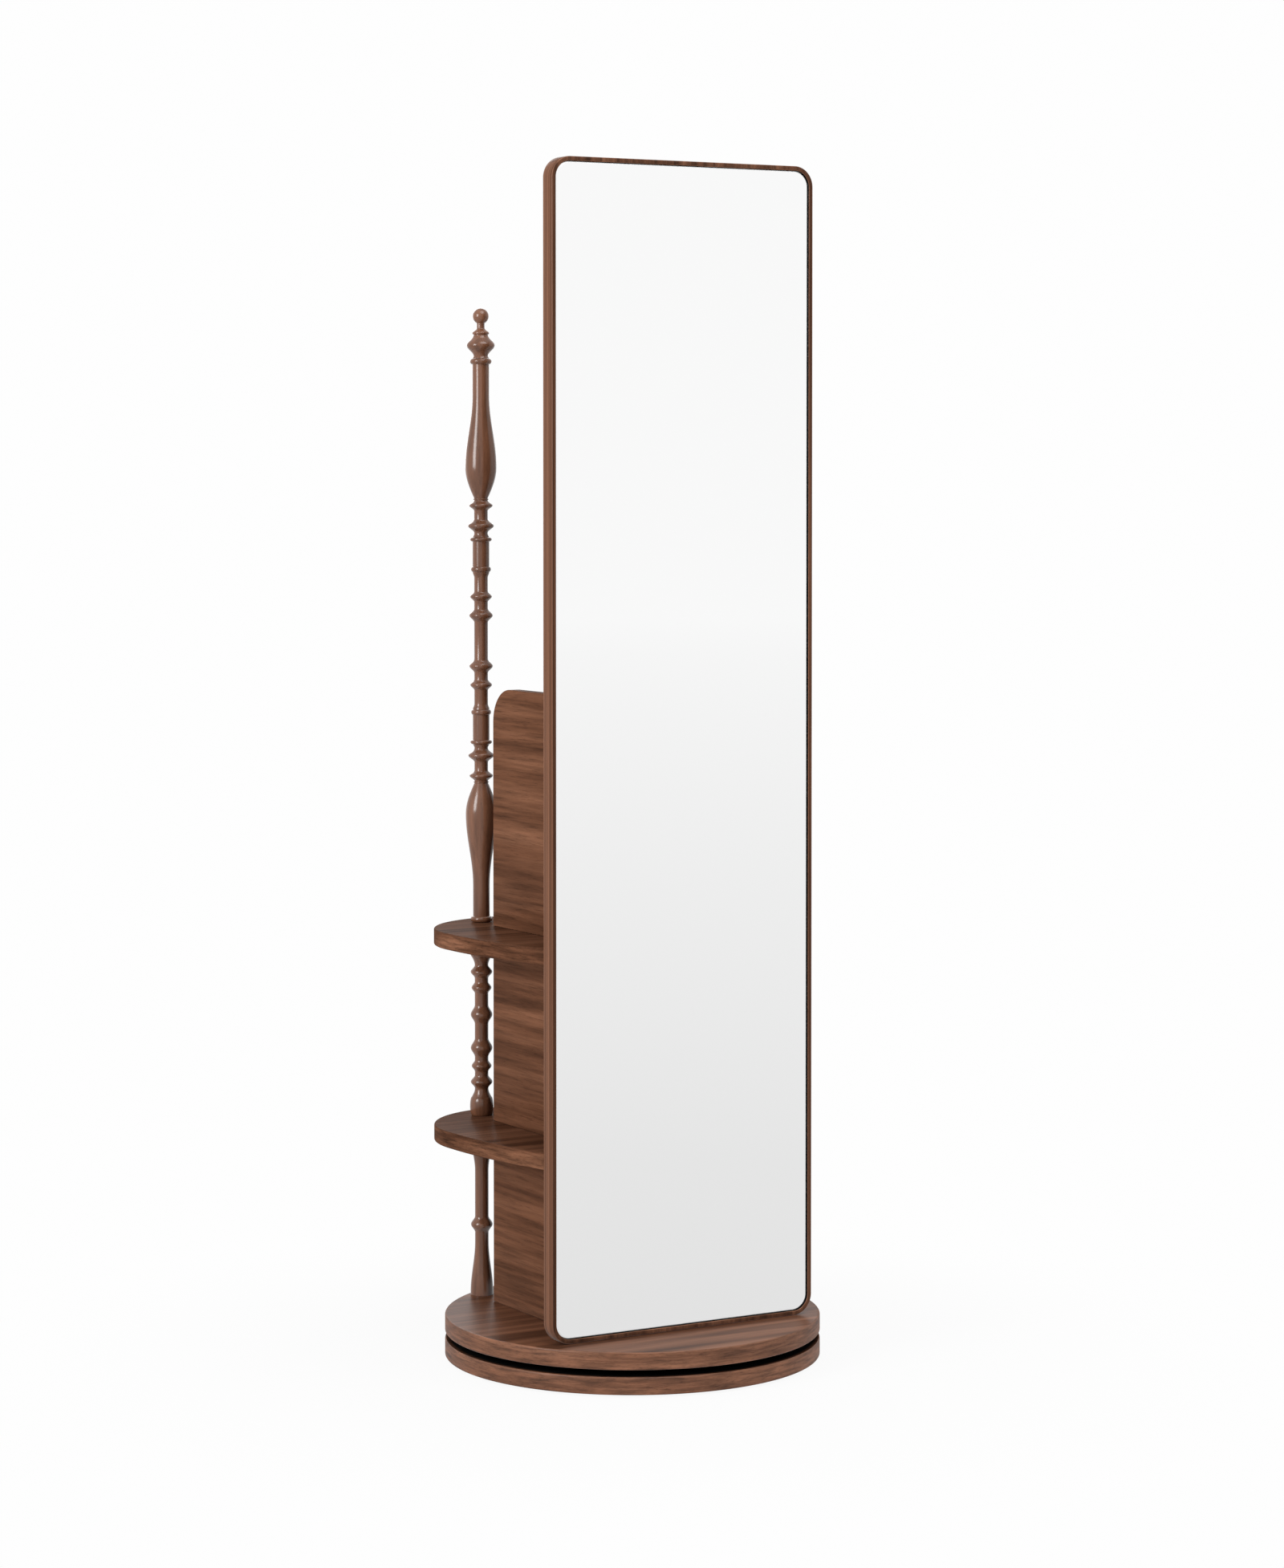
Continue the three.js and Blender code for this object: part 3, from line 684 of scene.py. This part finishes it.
# %% [markdown]
# ## The two round boards
# Base and turntable are equal discs, 500 mm across, with a dark slot between them where the
# bearing sits. Their edges carry a band of veneer, and a small round runs along each rim. A
# cylinder with many sides gives the disc. Its two rims are picked and bevelled, and a narrow inset
# keeps their soft shading off the flat faces. The top keeps its straight grain, and the edge gets
# the wood that runs round. The base has one hole, through which a screwdriver reaches the inner
# ring's screws. It is cut by a cylinder. The photograph's mirror shows plain white down to its
# foot, so both discs are hidden from reflections.

# %% Round boards
DISC_RADIUS = span("turntable_board", "Y")[1]
DISC_ROUND = 2.2
DISC_ROUND_SEGMENTS = 4
DISC_SIDES = 192
DISC_INSET = 1
LEVEL_FACE = 0.999
ACCESS_HOLE_X = 121.4
ACCESS_HOLE_RADIUS = 7
ACCESS_HOLE_SIDES = 32


def round_board(node, slot_side):
    low, high = span(node, "Z")
    board = added(
        bpy.ops.mesh.primitive_cylinder_add,
        vertices=DISC_SIDES,
        radius=mm(DISC_RADIUS),
        depth=mm(high - low),
        location=(0, 0, mm(low + high) / 2),
    )
    edit_only(board)
    pick(board, "edges", lambda edge: run(edge, "Z") < NEAR)
    bpy.ops.mesh.bevel(offset=mm(DISC_ROUND), segments=DISC_ROUND_SEGMENTS)
    pick(board, "faces", lambda face: abs(face.normal.z) > LEVEL_FACE)
    bpy.ops.mesh.inset(thickness=mm(DISC_INSET))
    bpy.ops.object.mode_set(mode="OBJECT")
    band(board, 1, lambda face: abs(face.normal.z) < FACING)
    # The faces towards the slot get the near-black painted shade.
    band(board, 2, lambda face: slot_side * face.normal.z > FACING)
    return board


BOARD_WOODS = [disc_top, disc_edge, painted_shade]
base_board = round_board("base_board", slot_side=1)
drill = added(
    bpy.ops.mesh.primitive_cylinder_add,
    vertices=ACCESS_HOLE_SIDES,
    radius=mm(ACCESS_HOLE_RADIUS),
    depth=mm(DISC_RADIUS),
    location=(mm(ACCESS_HOLE_X), 0, 0),
)
modified(base_board, "BOOLEAN", object=drill, solver="EXACT")
bpy.data.objects.remove(drill)
finish(base_board, "base_disc", "base_board", BOARD_WOODS, body="base")
turntable_board = round_board("turntable_board", slot_side=-1)
finish(turntable_board, "turntable_disc", "turntable_board", BOARD_WOODS)
base_board.visible_glossy = turntable_board.visible_glossy = False

# %% [markdown]
# ## Shelves
# Seen from above, a shelf starts at the mirror's back, bows out a little at its sides and ends in
# two wide round corners. The outline is drawn point by point, filled, and extruded to its
# thickness. A bevel modifier then rounds both rims, and the veneer band goes on as it did on the
# discs. Both shelves are copies of this one board, each lifted to its own level.

# %% Shelves
SHELF_FRONT, SHELF_REAR = span("upper_shelf", "Y")
SHELF_SET_IN = 1.5
SHELF_FRONT_HALF = span("mirror_frame", "X")[1] - SHELF_SET_IN
SHELF_HALF = span("upper_shelf", "X")[1]
SHELF_CORNER = 142
SHELF_CORNER_Y = SHELF_REAR - SHELF_CORNER
SHELF_ROUND = 2.2
SHELF_ROUND_SEGMENTS = 4
SIDE_STEPS, CORNER_STEPS = 18, 28


def arc(x, y, radius, start, end, count):
    angles = [start + (end - start) * i / count for i in range(count + 1)]
    return [(x + radius * math.cos(angle), y + radius * math.sin(angle)) for angle in angles]


def shelf_outline():
    bow = SHELF_HALF - SHELF_FRONT_HALF
    depth = SHELF_CORNER_Y - SHELF_FRONT
    side_radius = (bow * bow + depth * depth) / (2 * bow)
    start = -math.asin(depth / side_radius)
    side = arc(SHELF_HALF - side_radius, SHELF_CORNER_Y, side_radius, start, 0, SIDE_STEPS)
    middle = (SHELF_HALF - SHELF_CORNER, SHELF_CORNER_Y)
    corner = arc(*middle, SHELF_CORNER, 0, math.pi / 2, CORNER_STEPS)
    right = side + corner[1:]
    return right + [(-x, y) for x, y in reversed(right)]


low, high = span("lower_shelf", "Z")
shelf = drawn([(mm(x), mm(y), mm(low)) for x, y in shelf_outline()], close=True)
bpy.ops.mesh.select_all(action="SELECT")
bpy.ops.mesh.extrude_region_move(TRANSFORM_OT_translate={"value": (0, 0, mm(high - low))})
bpy.ops.mesh.select_all(action="SELECT")
bpy.ops.mesh.normals_make_consistent(inside=False)
soften(shelf, SHELF_ROUND, segments=SHELF_ROUND_SEGMENTS)
band(shelf, 1, lambda face: abs(face.normal.z) < FACING)
for node in ("lower_shelf", "upper_shelf"):
    twin = copied(shelf, z=span(node, "Z")[0] - low)
    finish(twin, node + "_board", node, [shelf_top, shelf_edge])
bpy.data.objects.remove(shelf)

# %% [markdown]
# ## Upright boards
# In each bay a board runs from the mirror's back towards the post, and divides the middle from the
# side. Its grain lies level, as the photograph shows. Each board is a box with softened edges. The
# one above the upper shelf ends free, so its rear top corner is rounded first, by a bevel with
# many segments. The narrow edges have their own band of veneer.

# %% Upright boards
UPRIGHT_INSIDE, UPRIGHT_OUTSIDE = span("upper_divider_right", "X")
UPRIGHT_X = (UPRIGHT_INSIDE + UPRIGHT_OUTSIDE) / 2
UPRIGHT_HALF = UPRIGHT_OUTSIDE - UPRIGHT_X
UPRIGHT_ROUND = 1.3
UPRIGHT_CORNER = 45
UPRIGHT_CORNER_SEGMENTS = 20
EDGE_FACING = 0.5
UPRIGHT_WOODS = [upright_face, upright_edge]
SIDES = {"left": -UPRIGHT_X, "right": UPRIGHT_X}


def at_corner(vertex, rear, high):
    return vertex.co.y > mm(rear) - NEAR and vertex.co.z > mm(high) - NEAR


for node in ("lower_divider", "middle_divider", "upper_divider"):
    front, rear = span(node + "_right", "Y")
    low, high = span(node + "_right", "Z")
    board = box((-UPRIGHT_HALF, front, low), (UPRIGHT_HALF, rear, high))
    if node == "upper_divider":
        edit_only(board)
        pick(board, "edges", lambda edge: all(at_corner(v, rear, high) for v in edge.verts))
        bpy.ops.mesh.bevel(offset=mm(UPRIGHT_CORNER), segments=UPRIGHT_CORNER_SEGMENTS)
    soften(board, UPRIGHT_ROUND)
    band(board, 1, lambda face: abs(face.normal.x) < EDGE_FACING)
    for side, x in SIDES.items():
        name = f"{node}_{side}"
        finish(copied(board, x), name + "_board", name, UPRIGHT_WOODS)
    bpy.data.objects.remove(board)

# %% [markdown]
# ## Turned posts
# The posts are the cabinet's finest work: columns, swells, beads and rings cut on a lathe. A
# profile is written from bottom to top as steps. Each step says what the tool cuts, its share of
# the length and the radius that it reaches. A bead, a ring and a knop stand out and come back: the
# first two are round and full, and a knop has hollow flanks. A sweep is an S, a round leaves the
# post gently and turns in, a hollow does the reverse, and a line is straight. The two tables give
# each cut its number of points and its curve. The line of points is spun about the post's axis,
# which is just what a lathe does.

# %% Cuts of the lathe
CURVES = {
    "line": (1, lambda t: t),
    "sweep": (14, lambda t: (1 - math.cos(math.pi * t)) / 2),
    "round": (9, lambda t: 1 - math.cos(math.pi * t / 2)),
    "hollow": (9, lambda t: math.sin(math.pi * t / 2)),
}
STANDING = {
    "bead": (10, lambda t: math.sqrt(math.sin(math.pi * t))),
    "ring": (8, lambda t: math.sqrt(math.sin(math.pi * t))),
    "knop": (16, lambda t: (1 - math.cos(math.tau * t)) / 2),
}


def both_ways(first_radius, half, middle=()):
    """The steps of a post whose upper half mirrors its lower half, with what stands between."""
    reverse = {"round": "hollow", "hollow": "round"}
    radius = first_radius
    upper = []
    for kind, share, size in half:
        stands = kind in STANDING
        upper.insert(0, (reverse.get(kind, kind), share, size if stands else radius))
        radius = radius if stands else size
    return half + list(middle) + upper


def profile(length, first_radius, steps):
    """The points, as radius and height, of steps that fill a length between them."""
    total = sum(share for _, share, _ in steps)
    radius, height = first_radius, 0
    points = [(radius, height)]
    for kind, share, size in steps:
        rise = length * share / total
        if kind in STANDING:
            count, curve = STANDING[kind]
            for i in range(1, count):
                # Round beads are steep at both ends, so their points crowd there.
                t = (1 - math.cos(math.pi * i / count)) / 2 if kind != "knop" else i / count
                points.append((radius + (size - radius) * curve(t), height + rise * t))
            points.append((radius, height + rise))
        else:
            count, curve = CURVES[kind]
            for i in range(1, count + 1):
                t = i / count
                points.append((radius + (size - radius) * curve(t), height + rise * t))
            radius = size
        height += rise
    return points


print("cuts:", ", ".join([*CURVES, *STANDING]))

# %% [markdown]
# Radii are in millimetres, and the shares are scaled until they fill the piece's length. The lower
# post and the finial's urn are written in full. The middle post's two ends mirror each other, with
# two knops between them, and the upper post's upper half mirrors its lower half. Of these only the
# lower end and the lower half are written.

# %% Profiles
FOOT, NECK, COLUMN, SWELL = 15.4, 9.2, 11.3, 21.1
NARROW_BEAD, BEAD, WIDE_BEAD, BROAD_BEAD = 13.5, 14.7, 15.9, 17.5
LOW_RING = NECK + 1.1
LOWER_POST = [
    ("line", 2, FOOT),
    ("sweep", 70, NECK),
    ("line", 12, NECK),
    ("knop", 22, BEAD),
    ("line", 62, NECK),
    ("sweep", 49, FOOT),
    ("line", 4, FOOT),
]
MIDDLE_POST_END = [
    ("bead", 25, WIDE_BEAD),
    ("hollow", 12, NECK),
    ("knop", 18, BEAD),
    ("line", 5, NECK),
    ("knop", 16, NARROW_BEAD),
]
MIDDLE_KNOPS = [
    ("line", 4, NECK),
    ("knop", 26, BEAD),
    ("line", 20, NECK),
    ("knop", 26, BEAD),
    ("line", 16, NECK),
]
UPPER_POST = [
    ("ring", 8, BEAD),
    ("line", 42, COLUMN),
    ("sweep", 97, SWELL),
    ("round", 42, NECK),
    ("ring", 2.4, LOW_RING),
    ("knop", 14.6, WIDE_BEAD),
    ("line", 11, NECK),
    ("knop", 18.5, BROAD_BEAD),
    ("line", 2, NECK),
    ("line", 4, COLUMN),
    ("ring", 6, BEAD),
    ("line", 34, COLUMN),
    ("ring", 7, NARROW_BEAD),
    ("sweep", 8, NECK),
    ("line", 18, NECK),
    ("knop", 15, BEAD),
    ("line", 8.5, NECK),
    ("knop", 19, WIDE_BEAD),
    ("line", 24.8, NECK),
]
URN_NECK, URN, COLLAR, TIP_WRIST, TIP_RADIUS = 9.7, 19.1, 11.4, 5.2, 10.8
URN_STEPS = [
    ("line", 3, URN_NECK),
    ("knop", 28.5, URN),
    ("hollow", 1.6, COLLAR),
    ("line", 0.6, COLLAR),
    ("sweep", 7, TIP_WRIST),
    ("line", 6.2, TIP_WRIST),
]
print("steps of the upper post:", len(both_ways(COLUMN, UPPER_POST)))

# %% Turned posts and finials
POST_INSET = 55
POST_Y = DISC_RADIUS - POST_INSET
TURNED_SIDES = 56
SAME_POINT = 0.004
FINIAL_HEIGHT = 67.5
BALL_STEPS = 18


def spun(points, y=0, z=0, sides=TURNED_SIDES):
    """A turned piece: points of radius and height, spun about the upright axis at y."""
    line = [(mm(radius), mm(y), mm(z + height)) for radius, height in points]
    piece = drawn(line, close=False)
    bpy.ops.mesh.spin(steps=sides, angle=math.tau, center=(0, mm(y), 0), axis=(0, 0, 1))
    bpy.ops.mesh.select_all(action="SELECT")
    bpy.ops.mesh.remove_doubles(threshold=mm(SAME_POINT))
    bpy.ops.mesh.select_all(action="SELECT")
    bpy.ops.mesh.normals_make_consistent(inside=False)
    bpy.ops.object.mode_set(mode="OBJECT")
    return piece


def post_points(node, first_radius, steps):
    low, high = span(node, "Z")
    length = high - low
    return low, [(0, 0)] + profile(length, first_radius, steps) + [(0, length)]


wrist = -math.acos(TIP_WRIST / TIP_RADIUS)
tip_middle = FINIAL_HEIGHT - TIP_RADIUS
urn_height = tip_middle + TIP_RADIUS * math.sin(wrist)
tip = arc(0, tip_middle, TIP_RADIUS, wrist, math.pi / 2, BALL_STEPS)[1:-1]
finial_points = [(0, 0)] + profile(urn_height, COLUMN, URN_STEPS) + tip + [(0, FINIAL_HEIGHT)]

middle_steps = both_ways(NARROW_BEAD, MIDDLE_POST_END, MIDDLE_KNOPS)
POSTS = {
    "lower_post": post_points("lower_post_left", FOOT, LOWER_POST),
    "middle_post": post_points("middle_post_left", NARROW_BEAD, middle_steps),
    "upper_post": post_points("upper_post_left", COLUMN, both_ways(COLUMN, UPPER_POST)),
    "finial": (span("finial_left", "Z")[1] - FINIAL_HEIGHT, finial_points),
}
for node, (foot, points) in POSTS.items():
    turning = spun(points, POST_Y, foot)
    for side, x in SIDES.items():
        name = f"{node}_{side}"
        finish(copied(turning, x), name + "_turning", name, [turned_wood])
    bpy.data.objects.remove(turning)

# %% [markdown]
# ## Mirror
# The frame is a thin wooden band, only 6 mm wide at the front and 24.5 mm deep, that bends round
# the corners. It is a box whose four corners are bevelled. Both faces are inset, and bridging the
# two insets opens the middle.

# %% Mirror frame
MIRROR_HALF = span("mirror_frame", "X")[1]
MIRROR_LEVELS = span("mirror_frame", "Z")
MIRROR_FRONT, MIRROR_BACK = span("mirror_frame", "Y")
FRAME_CORNER = 27
FRAME_WALL = 6
FRAME_ROUND = 1.3
CORNER_SEGMENTS = 18


def rounded_slab(inset, front, back):
    """An upright slab with the mirror's outline, drawn in by the inset. It stays in edit mode."""
    low = (inset - MIRROR_HALF, front, MIRROR_LEVELS[0] + inset)
    high = (MIRROR_HALF - inset, back, MIRROR_LEVELS[1] - inset)
    slab = box(low, high)
    edit_only(slab)
    pick(slab, "edges", lambda edge: run(edge, "Y") > NEAR)
    bpy.ops.mesh.bevel(offset=mm(FRAME_CORNER - inset), segments=CORNER_SEGMENTS)
    return slab


mirror_frame = rounded_slab(0, MIRROR_FRONT, MIRROR_BACK)
pick(mirror_frame, "faces", lambda face: abs(face.normal.y) > FACING)
bpy.ops.mesh.inset(thickness=mm(FRAME_WALL))
bpy.ops.mesh.bridge_edge_loops()
soften(mirror_frame, FRAME_ROUND)
print("mirror frame:", 2 * MIRROR_HALF, "mm wide, levels", MIRROR_LEVELS)

# %% [markdown]
# The frame's grain runs along the band, so the piece gets a map of its own: one direction is the
# way round the frame, the other is the way across the band. On the upright stretches, away from
# the corners, the way across also goes on over the front. Side, front and the round between them
# are lit and shaded copies of one walnut: painted light on the side, painted shade on the front
# and a painted highlight on the round. The wall towards the glass gets near-black painted shade,
# which draws the fine black line beside the glass.

# %% The frame's grain and woods
GRAIN_START = 6.4
MAP_END = 40
FRONT_FACING, SIDE_FACING = 0.95, 0.3
MIRROR_MIDDLE = mm(sum(MIRROR_LEVELS)) / 2


def way_round(x, z):
    """How far round the frame's outline a point lies, in metres, from the middle of its foot."""
    corner = mm(FRAME_CORNER)
    half, low, high = mm(MIRROR_HALF) - corner, mm(MIRROR_LEVELS[0]), mm(MIRROR_LEVELS[1])
    foot, top = low + corner, high - corner
    rise, bend = top - foot, corner * math.pi / 2
    across = abs(x)
    if z < foot and across <= half:
        return across
    if z < foot:
        return half + corner * math.atan2(across - half, foot - z)
    if z <= top:
        return half + bend + (z - foot) if across > half / 2 else across
    if across > half:
        return half + bend + rise + corner * math.atan2(z - top, across - half)
    return 2 * half + 2 * bend + rise - across


grain_map = mirror_frame.data.uv_layers.new(name="grain")
upright_foot, upright_top = mm(MIRROR_LEVELS[0] + MAP_END), mm(MIRROR_LEVELS[1] - MAP_END)
for face in mirror_frame.data.polygons:
    corners = [mirror_frame.data.vertices[i].co for i in face.vertices]
    side = 1 if face.center.x > 0 else -1
    upright = upright_foot < face.center.z < upright_top
    for loop, corner in zip(face.loop_indices, corners):
        across = abs(corner.x) - mm(MIRROR_HALF) if upright else 0
        depth = corner.y - mm(MIRROR_FRONT) + across
        way = side * way_round(corner.x, corner.z)
        grain_map.data[loop].uv = (way, depth - mm(GRAIN_START))


def inner_wall(face):
    outwards = face.normal.x * face.center.x + face.normal.z * (face.center.z - MIRROR_MIDDLE)
    return abs(face.normal.y) < SIDE_FACING and outwards < 0


# Painted shade on the front, painted highlight on the round, near-black shade on the inner wall.
band(mirror_frame, 1, lambda face: face.normal.y < -FRONT_FACING)
band(mirror_frame, 2, lambda face: SIDE_FACING < abs(face.normal.y) < FRONT_FACING)
band(mirror_frame, 3, inner_wall)
FRAME_WOODS = [frame_side_painted_light, frame_front_painted_shade, frame_arris_painted_highlight, painted_shade]
finish(mirror_frame, "mirror_surround", "mirror_frame", FRAME_WOODS)
print("half way round the frame:", round(way_round(0, mm(MIRROR_LEVELS[1])), 3), "m")

# %% [markdown]
# The glass lies in the frame, a little behind its front edge. Its rim is ground to a narrow slope
# that shows as a fine white line. The pane starts half a millimetre further back, and its front
# face is inset and brought forward by as much. The slope in between gets a ground finish of its
# own. Behind the glass the back board fills the frame and closes it flush. Both have the frame's
# outline, drawn in by its wall.

# %% Glass and back board
GAP = 0.3
SLOPE_WIDTH, SLOPE_DEPTH = 2.0, 0.5
SLOPE_FACING = (0.5, 0.99)
BACK_ROUND = 0.6
GLASS_ANGLE = 8

glass_front, glass_back = span("mirror_glass", "Y")
glass = rounded_slab(FRAME_WALL + GAP, glass_front + SLOPE_DEPTH, glass_back)
pick(glass, "faces", lambda face: face.normal.y < -FACING)
bpy.ops.mesh.inset(thickness=mm(SLOPE_WIDTH), depth=mm(SLOPE_DEPTH))
bpy.ops.object.mode_set(mode="OBJECT")
band(glass, 1, lambda face: SLOPE_FACING[0] < -face.normal.y < SLOPE_FACING[1])
GLASS_FINISHES = [silvered, ground]
finish(glass, "mirror_pane", "mirror_glass", GLASS_FINISHES, angle=GLASS_ANGLE)

board_front, board_back = span("mirror_back_board", "Y")
back_board = rounded_slab(FRAME_WALL + GAP, board_front, board_back)
soften(back_board, BACK_ROUND, segments=2)
finish(back_board, "mirror_backing", "mirror_back_board", [back_wood])

# %% [markdown]
# ## Rail for clothes
# A round rod stands out from the middle of the back board, high up. A flange covers the place
# where it enters, and a knob on its free end keeps the hangers on. The rod goes equally deep into
# both, board and knob. All three are turned, so each is a profile spun as the posts were, and then
# laid down along Y.

# %% Rail
RAIL_LEVEL = sum(span("hanging_rail", "Z")) / 2
RAIL_RADIUS = 11
RAIL_REACH = span("hanging_rail", "Y")[1] - MIRROR_BACK
SOCKET = 12
BORE = RAIL_RADIUS + GAP
FLANGE, FLANGE_THICKNESS, FLANGE_LIP, FLANGE_CHAMFER = 27, 14, 5, 1
COVE_STEPS = 10
KNOB, KNOB_NECK, KNOB_NECK_LENGTH, KNOB_CHAMFER = 18, 13.5, 8, 0.6


def laid(points):
    """A turned piece laid along the rail: its heights run backwards from the mirror's back."""
    piece = spun(points)
    turn = Matrix.Rotation(-math.pi / 2, 4, "X")
    piece.data.transform(Matrix.Translation((0, mm(MIRROR_BACK), mm(RAIL_LEVEL))) @ turn)
    return piece


rod = [(0, -SOCKET), (RAIL_RADIUS, -SOCKET), (RAIL_RADIUS, RAIL_REACH), (0, RAIL_REACH)]
finish(laid(rod), "rail_rod", "hanging_rail", [turned_wood])

cove_radius = FLANGE_THICKNESS - FLANGE_LIP
cove = arc(FLANGE, FLANGE_THICKNESS, cove_radius, -math.pi / 2, -math.pi, COVE_STEPS)
rosette = [(BORE, GAP), (FLANGE - FLANGE_CHAMFER, GAP), (FLANGE, GAP + FLANGE_CHAMFER)]
rosette += cove + [(BORE, FLANGE_THICKNESS), (BORE, GAP)]
finish(laid(rosette), "rail_rosette", "rail_flange", [turned_wood])

start = -math.acos(KNOB_NECK / KNOB)
middle = KNOB_NECK_LENGTH - KNOB * math.sin(start)
foot = RAIL_REACH - SOCKET
knob = [(0, RAIL_REACH + GAP), (BORE, RAIL_REACH + GAP), (BORE, foot)]
knob += [(KNOB_NECK - KNOB_CHAMFER, foot), (KNOB_NECK, foot + KNOB_CHAMFER)]
knob += arc(0, foot + middle, KNOB, start, math.pi / 2, BALL_STEPS)[:-1]
knob += [(0, foot + middle + KNOB)]
finish(laid(knob), "rail_end_knob", "rail_knob", [turned_wood])

# %% [markdown]
# ## Ball cage
# Between the rings of the bearing runs a thin nylon ring that keeps the steel balls apart. It
# turns at half the turntable's pace. Its band is a small profile, spun about the axis with many
# sides, so that it stays clear of both rings at every angle. One ball is a sphere, a hair smaller
# than its groove. It is copied to fourteen places round the same circle, and joined to the band.
# Like the discs, the cage is hidden from reflections.

# %% Ball cage
BALL_CIRCLE, BALL_RADIUS, BALL_COUNT = 132, 2.5, 14
BALL_SEGMENTS, BALL_RINGS = 24, 12
CAGE_WALL, CAGE_HALF_HEIGHT, CAGE_SIDES = 0.8, 2.2, 168

ball_level = sum(span("bearing_ball_cage", "Z")) / 2
inside, outside = BALL_CIRCLE - CAGE_WALL, BALL_CIRCLE + CAGE_WALL
cage_band = [
    (inside, -CAGE_HALF_HEIGHT),
    (outside, -CAGE_HALF_HEIGHT),
    (outside, CAGE_HALF_HEIGHT),
    (inside, CAGE_HALF_HEIGHT),
    (inside, -CAGE_HALF_HEIGHT),
]
ball_cage = spun(cage_band, z=ball_level, sides=CAGE_SIDES)
band_faces = len(ball_cage.data.polygons)
ball = added(
    bpy.ops.mesh.primitive_uv_sphere_add,
    segments=BALL_SEGMENTS,
    ring_count=BALL_RINGS,
    radius=mm(BALL_RADIUS),
    location=(0, 0, mm(ball_level)),
)
places = arc(0, 0, BALL_CIRCLE, 0, math.tau, BALL_COUNT)[:-1]
balls = [copied(ball, x, y) for x, y in places]
bpy.data.objects.remove(ball)
choose(ball_cage)
for ball in balls:
    ball.select_set(True)
bpy.ops.object.join()
band(ball_cage, 1, lambda face: face.index >= band_faces)
finish(ball_cage, "ball_cage", "bearing_ball_cage", [nylon, steel], body="cage")
ball_cage.visible_glossy = False

# %% [markdown]
# ## Brackets, screws, studs, pads and the bearing's rings
# The pieces below are small or lie in the dark of the slot. Their solids already have the right
# shape, so they stay, and only get the finish of their metal or felt. All but the brackets with
# their screws are hidden from reflections with the discs.

# %% Small pieces
PLAIN = {"bearing_outer_ring": blackened, "bearing_inner_ring": blackened}
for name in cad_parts:
    if "_screw" in name or "_stud" in name or "bracket" in name:
        PLAIN[name] = steel
    elif "pad" in name:
        PLAIN[name] = felt
for name, material in PLAIN.items():
    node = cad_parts[name]
    node.data.materials.clear()
    node.data.materials.append(material)
    node.visible_glossy = "bracket" in name
print("solids that keep their shape:", len(PLAIN))
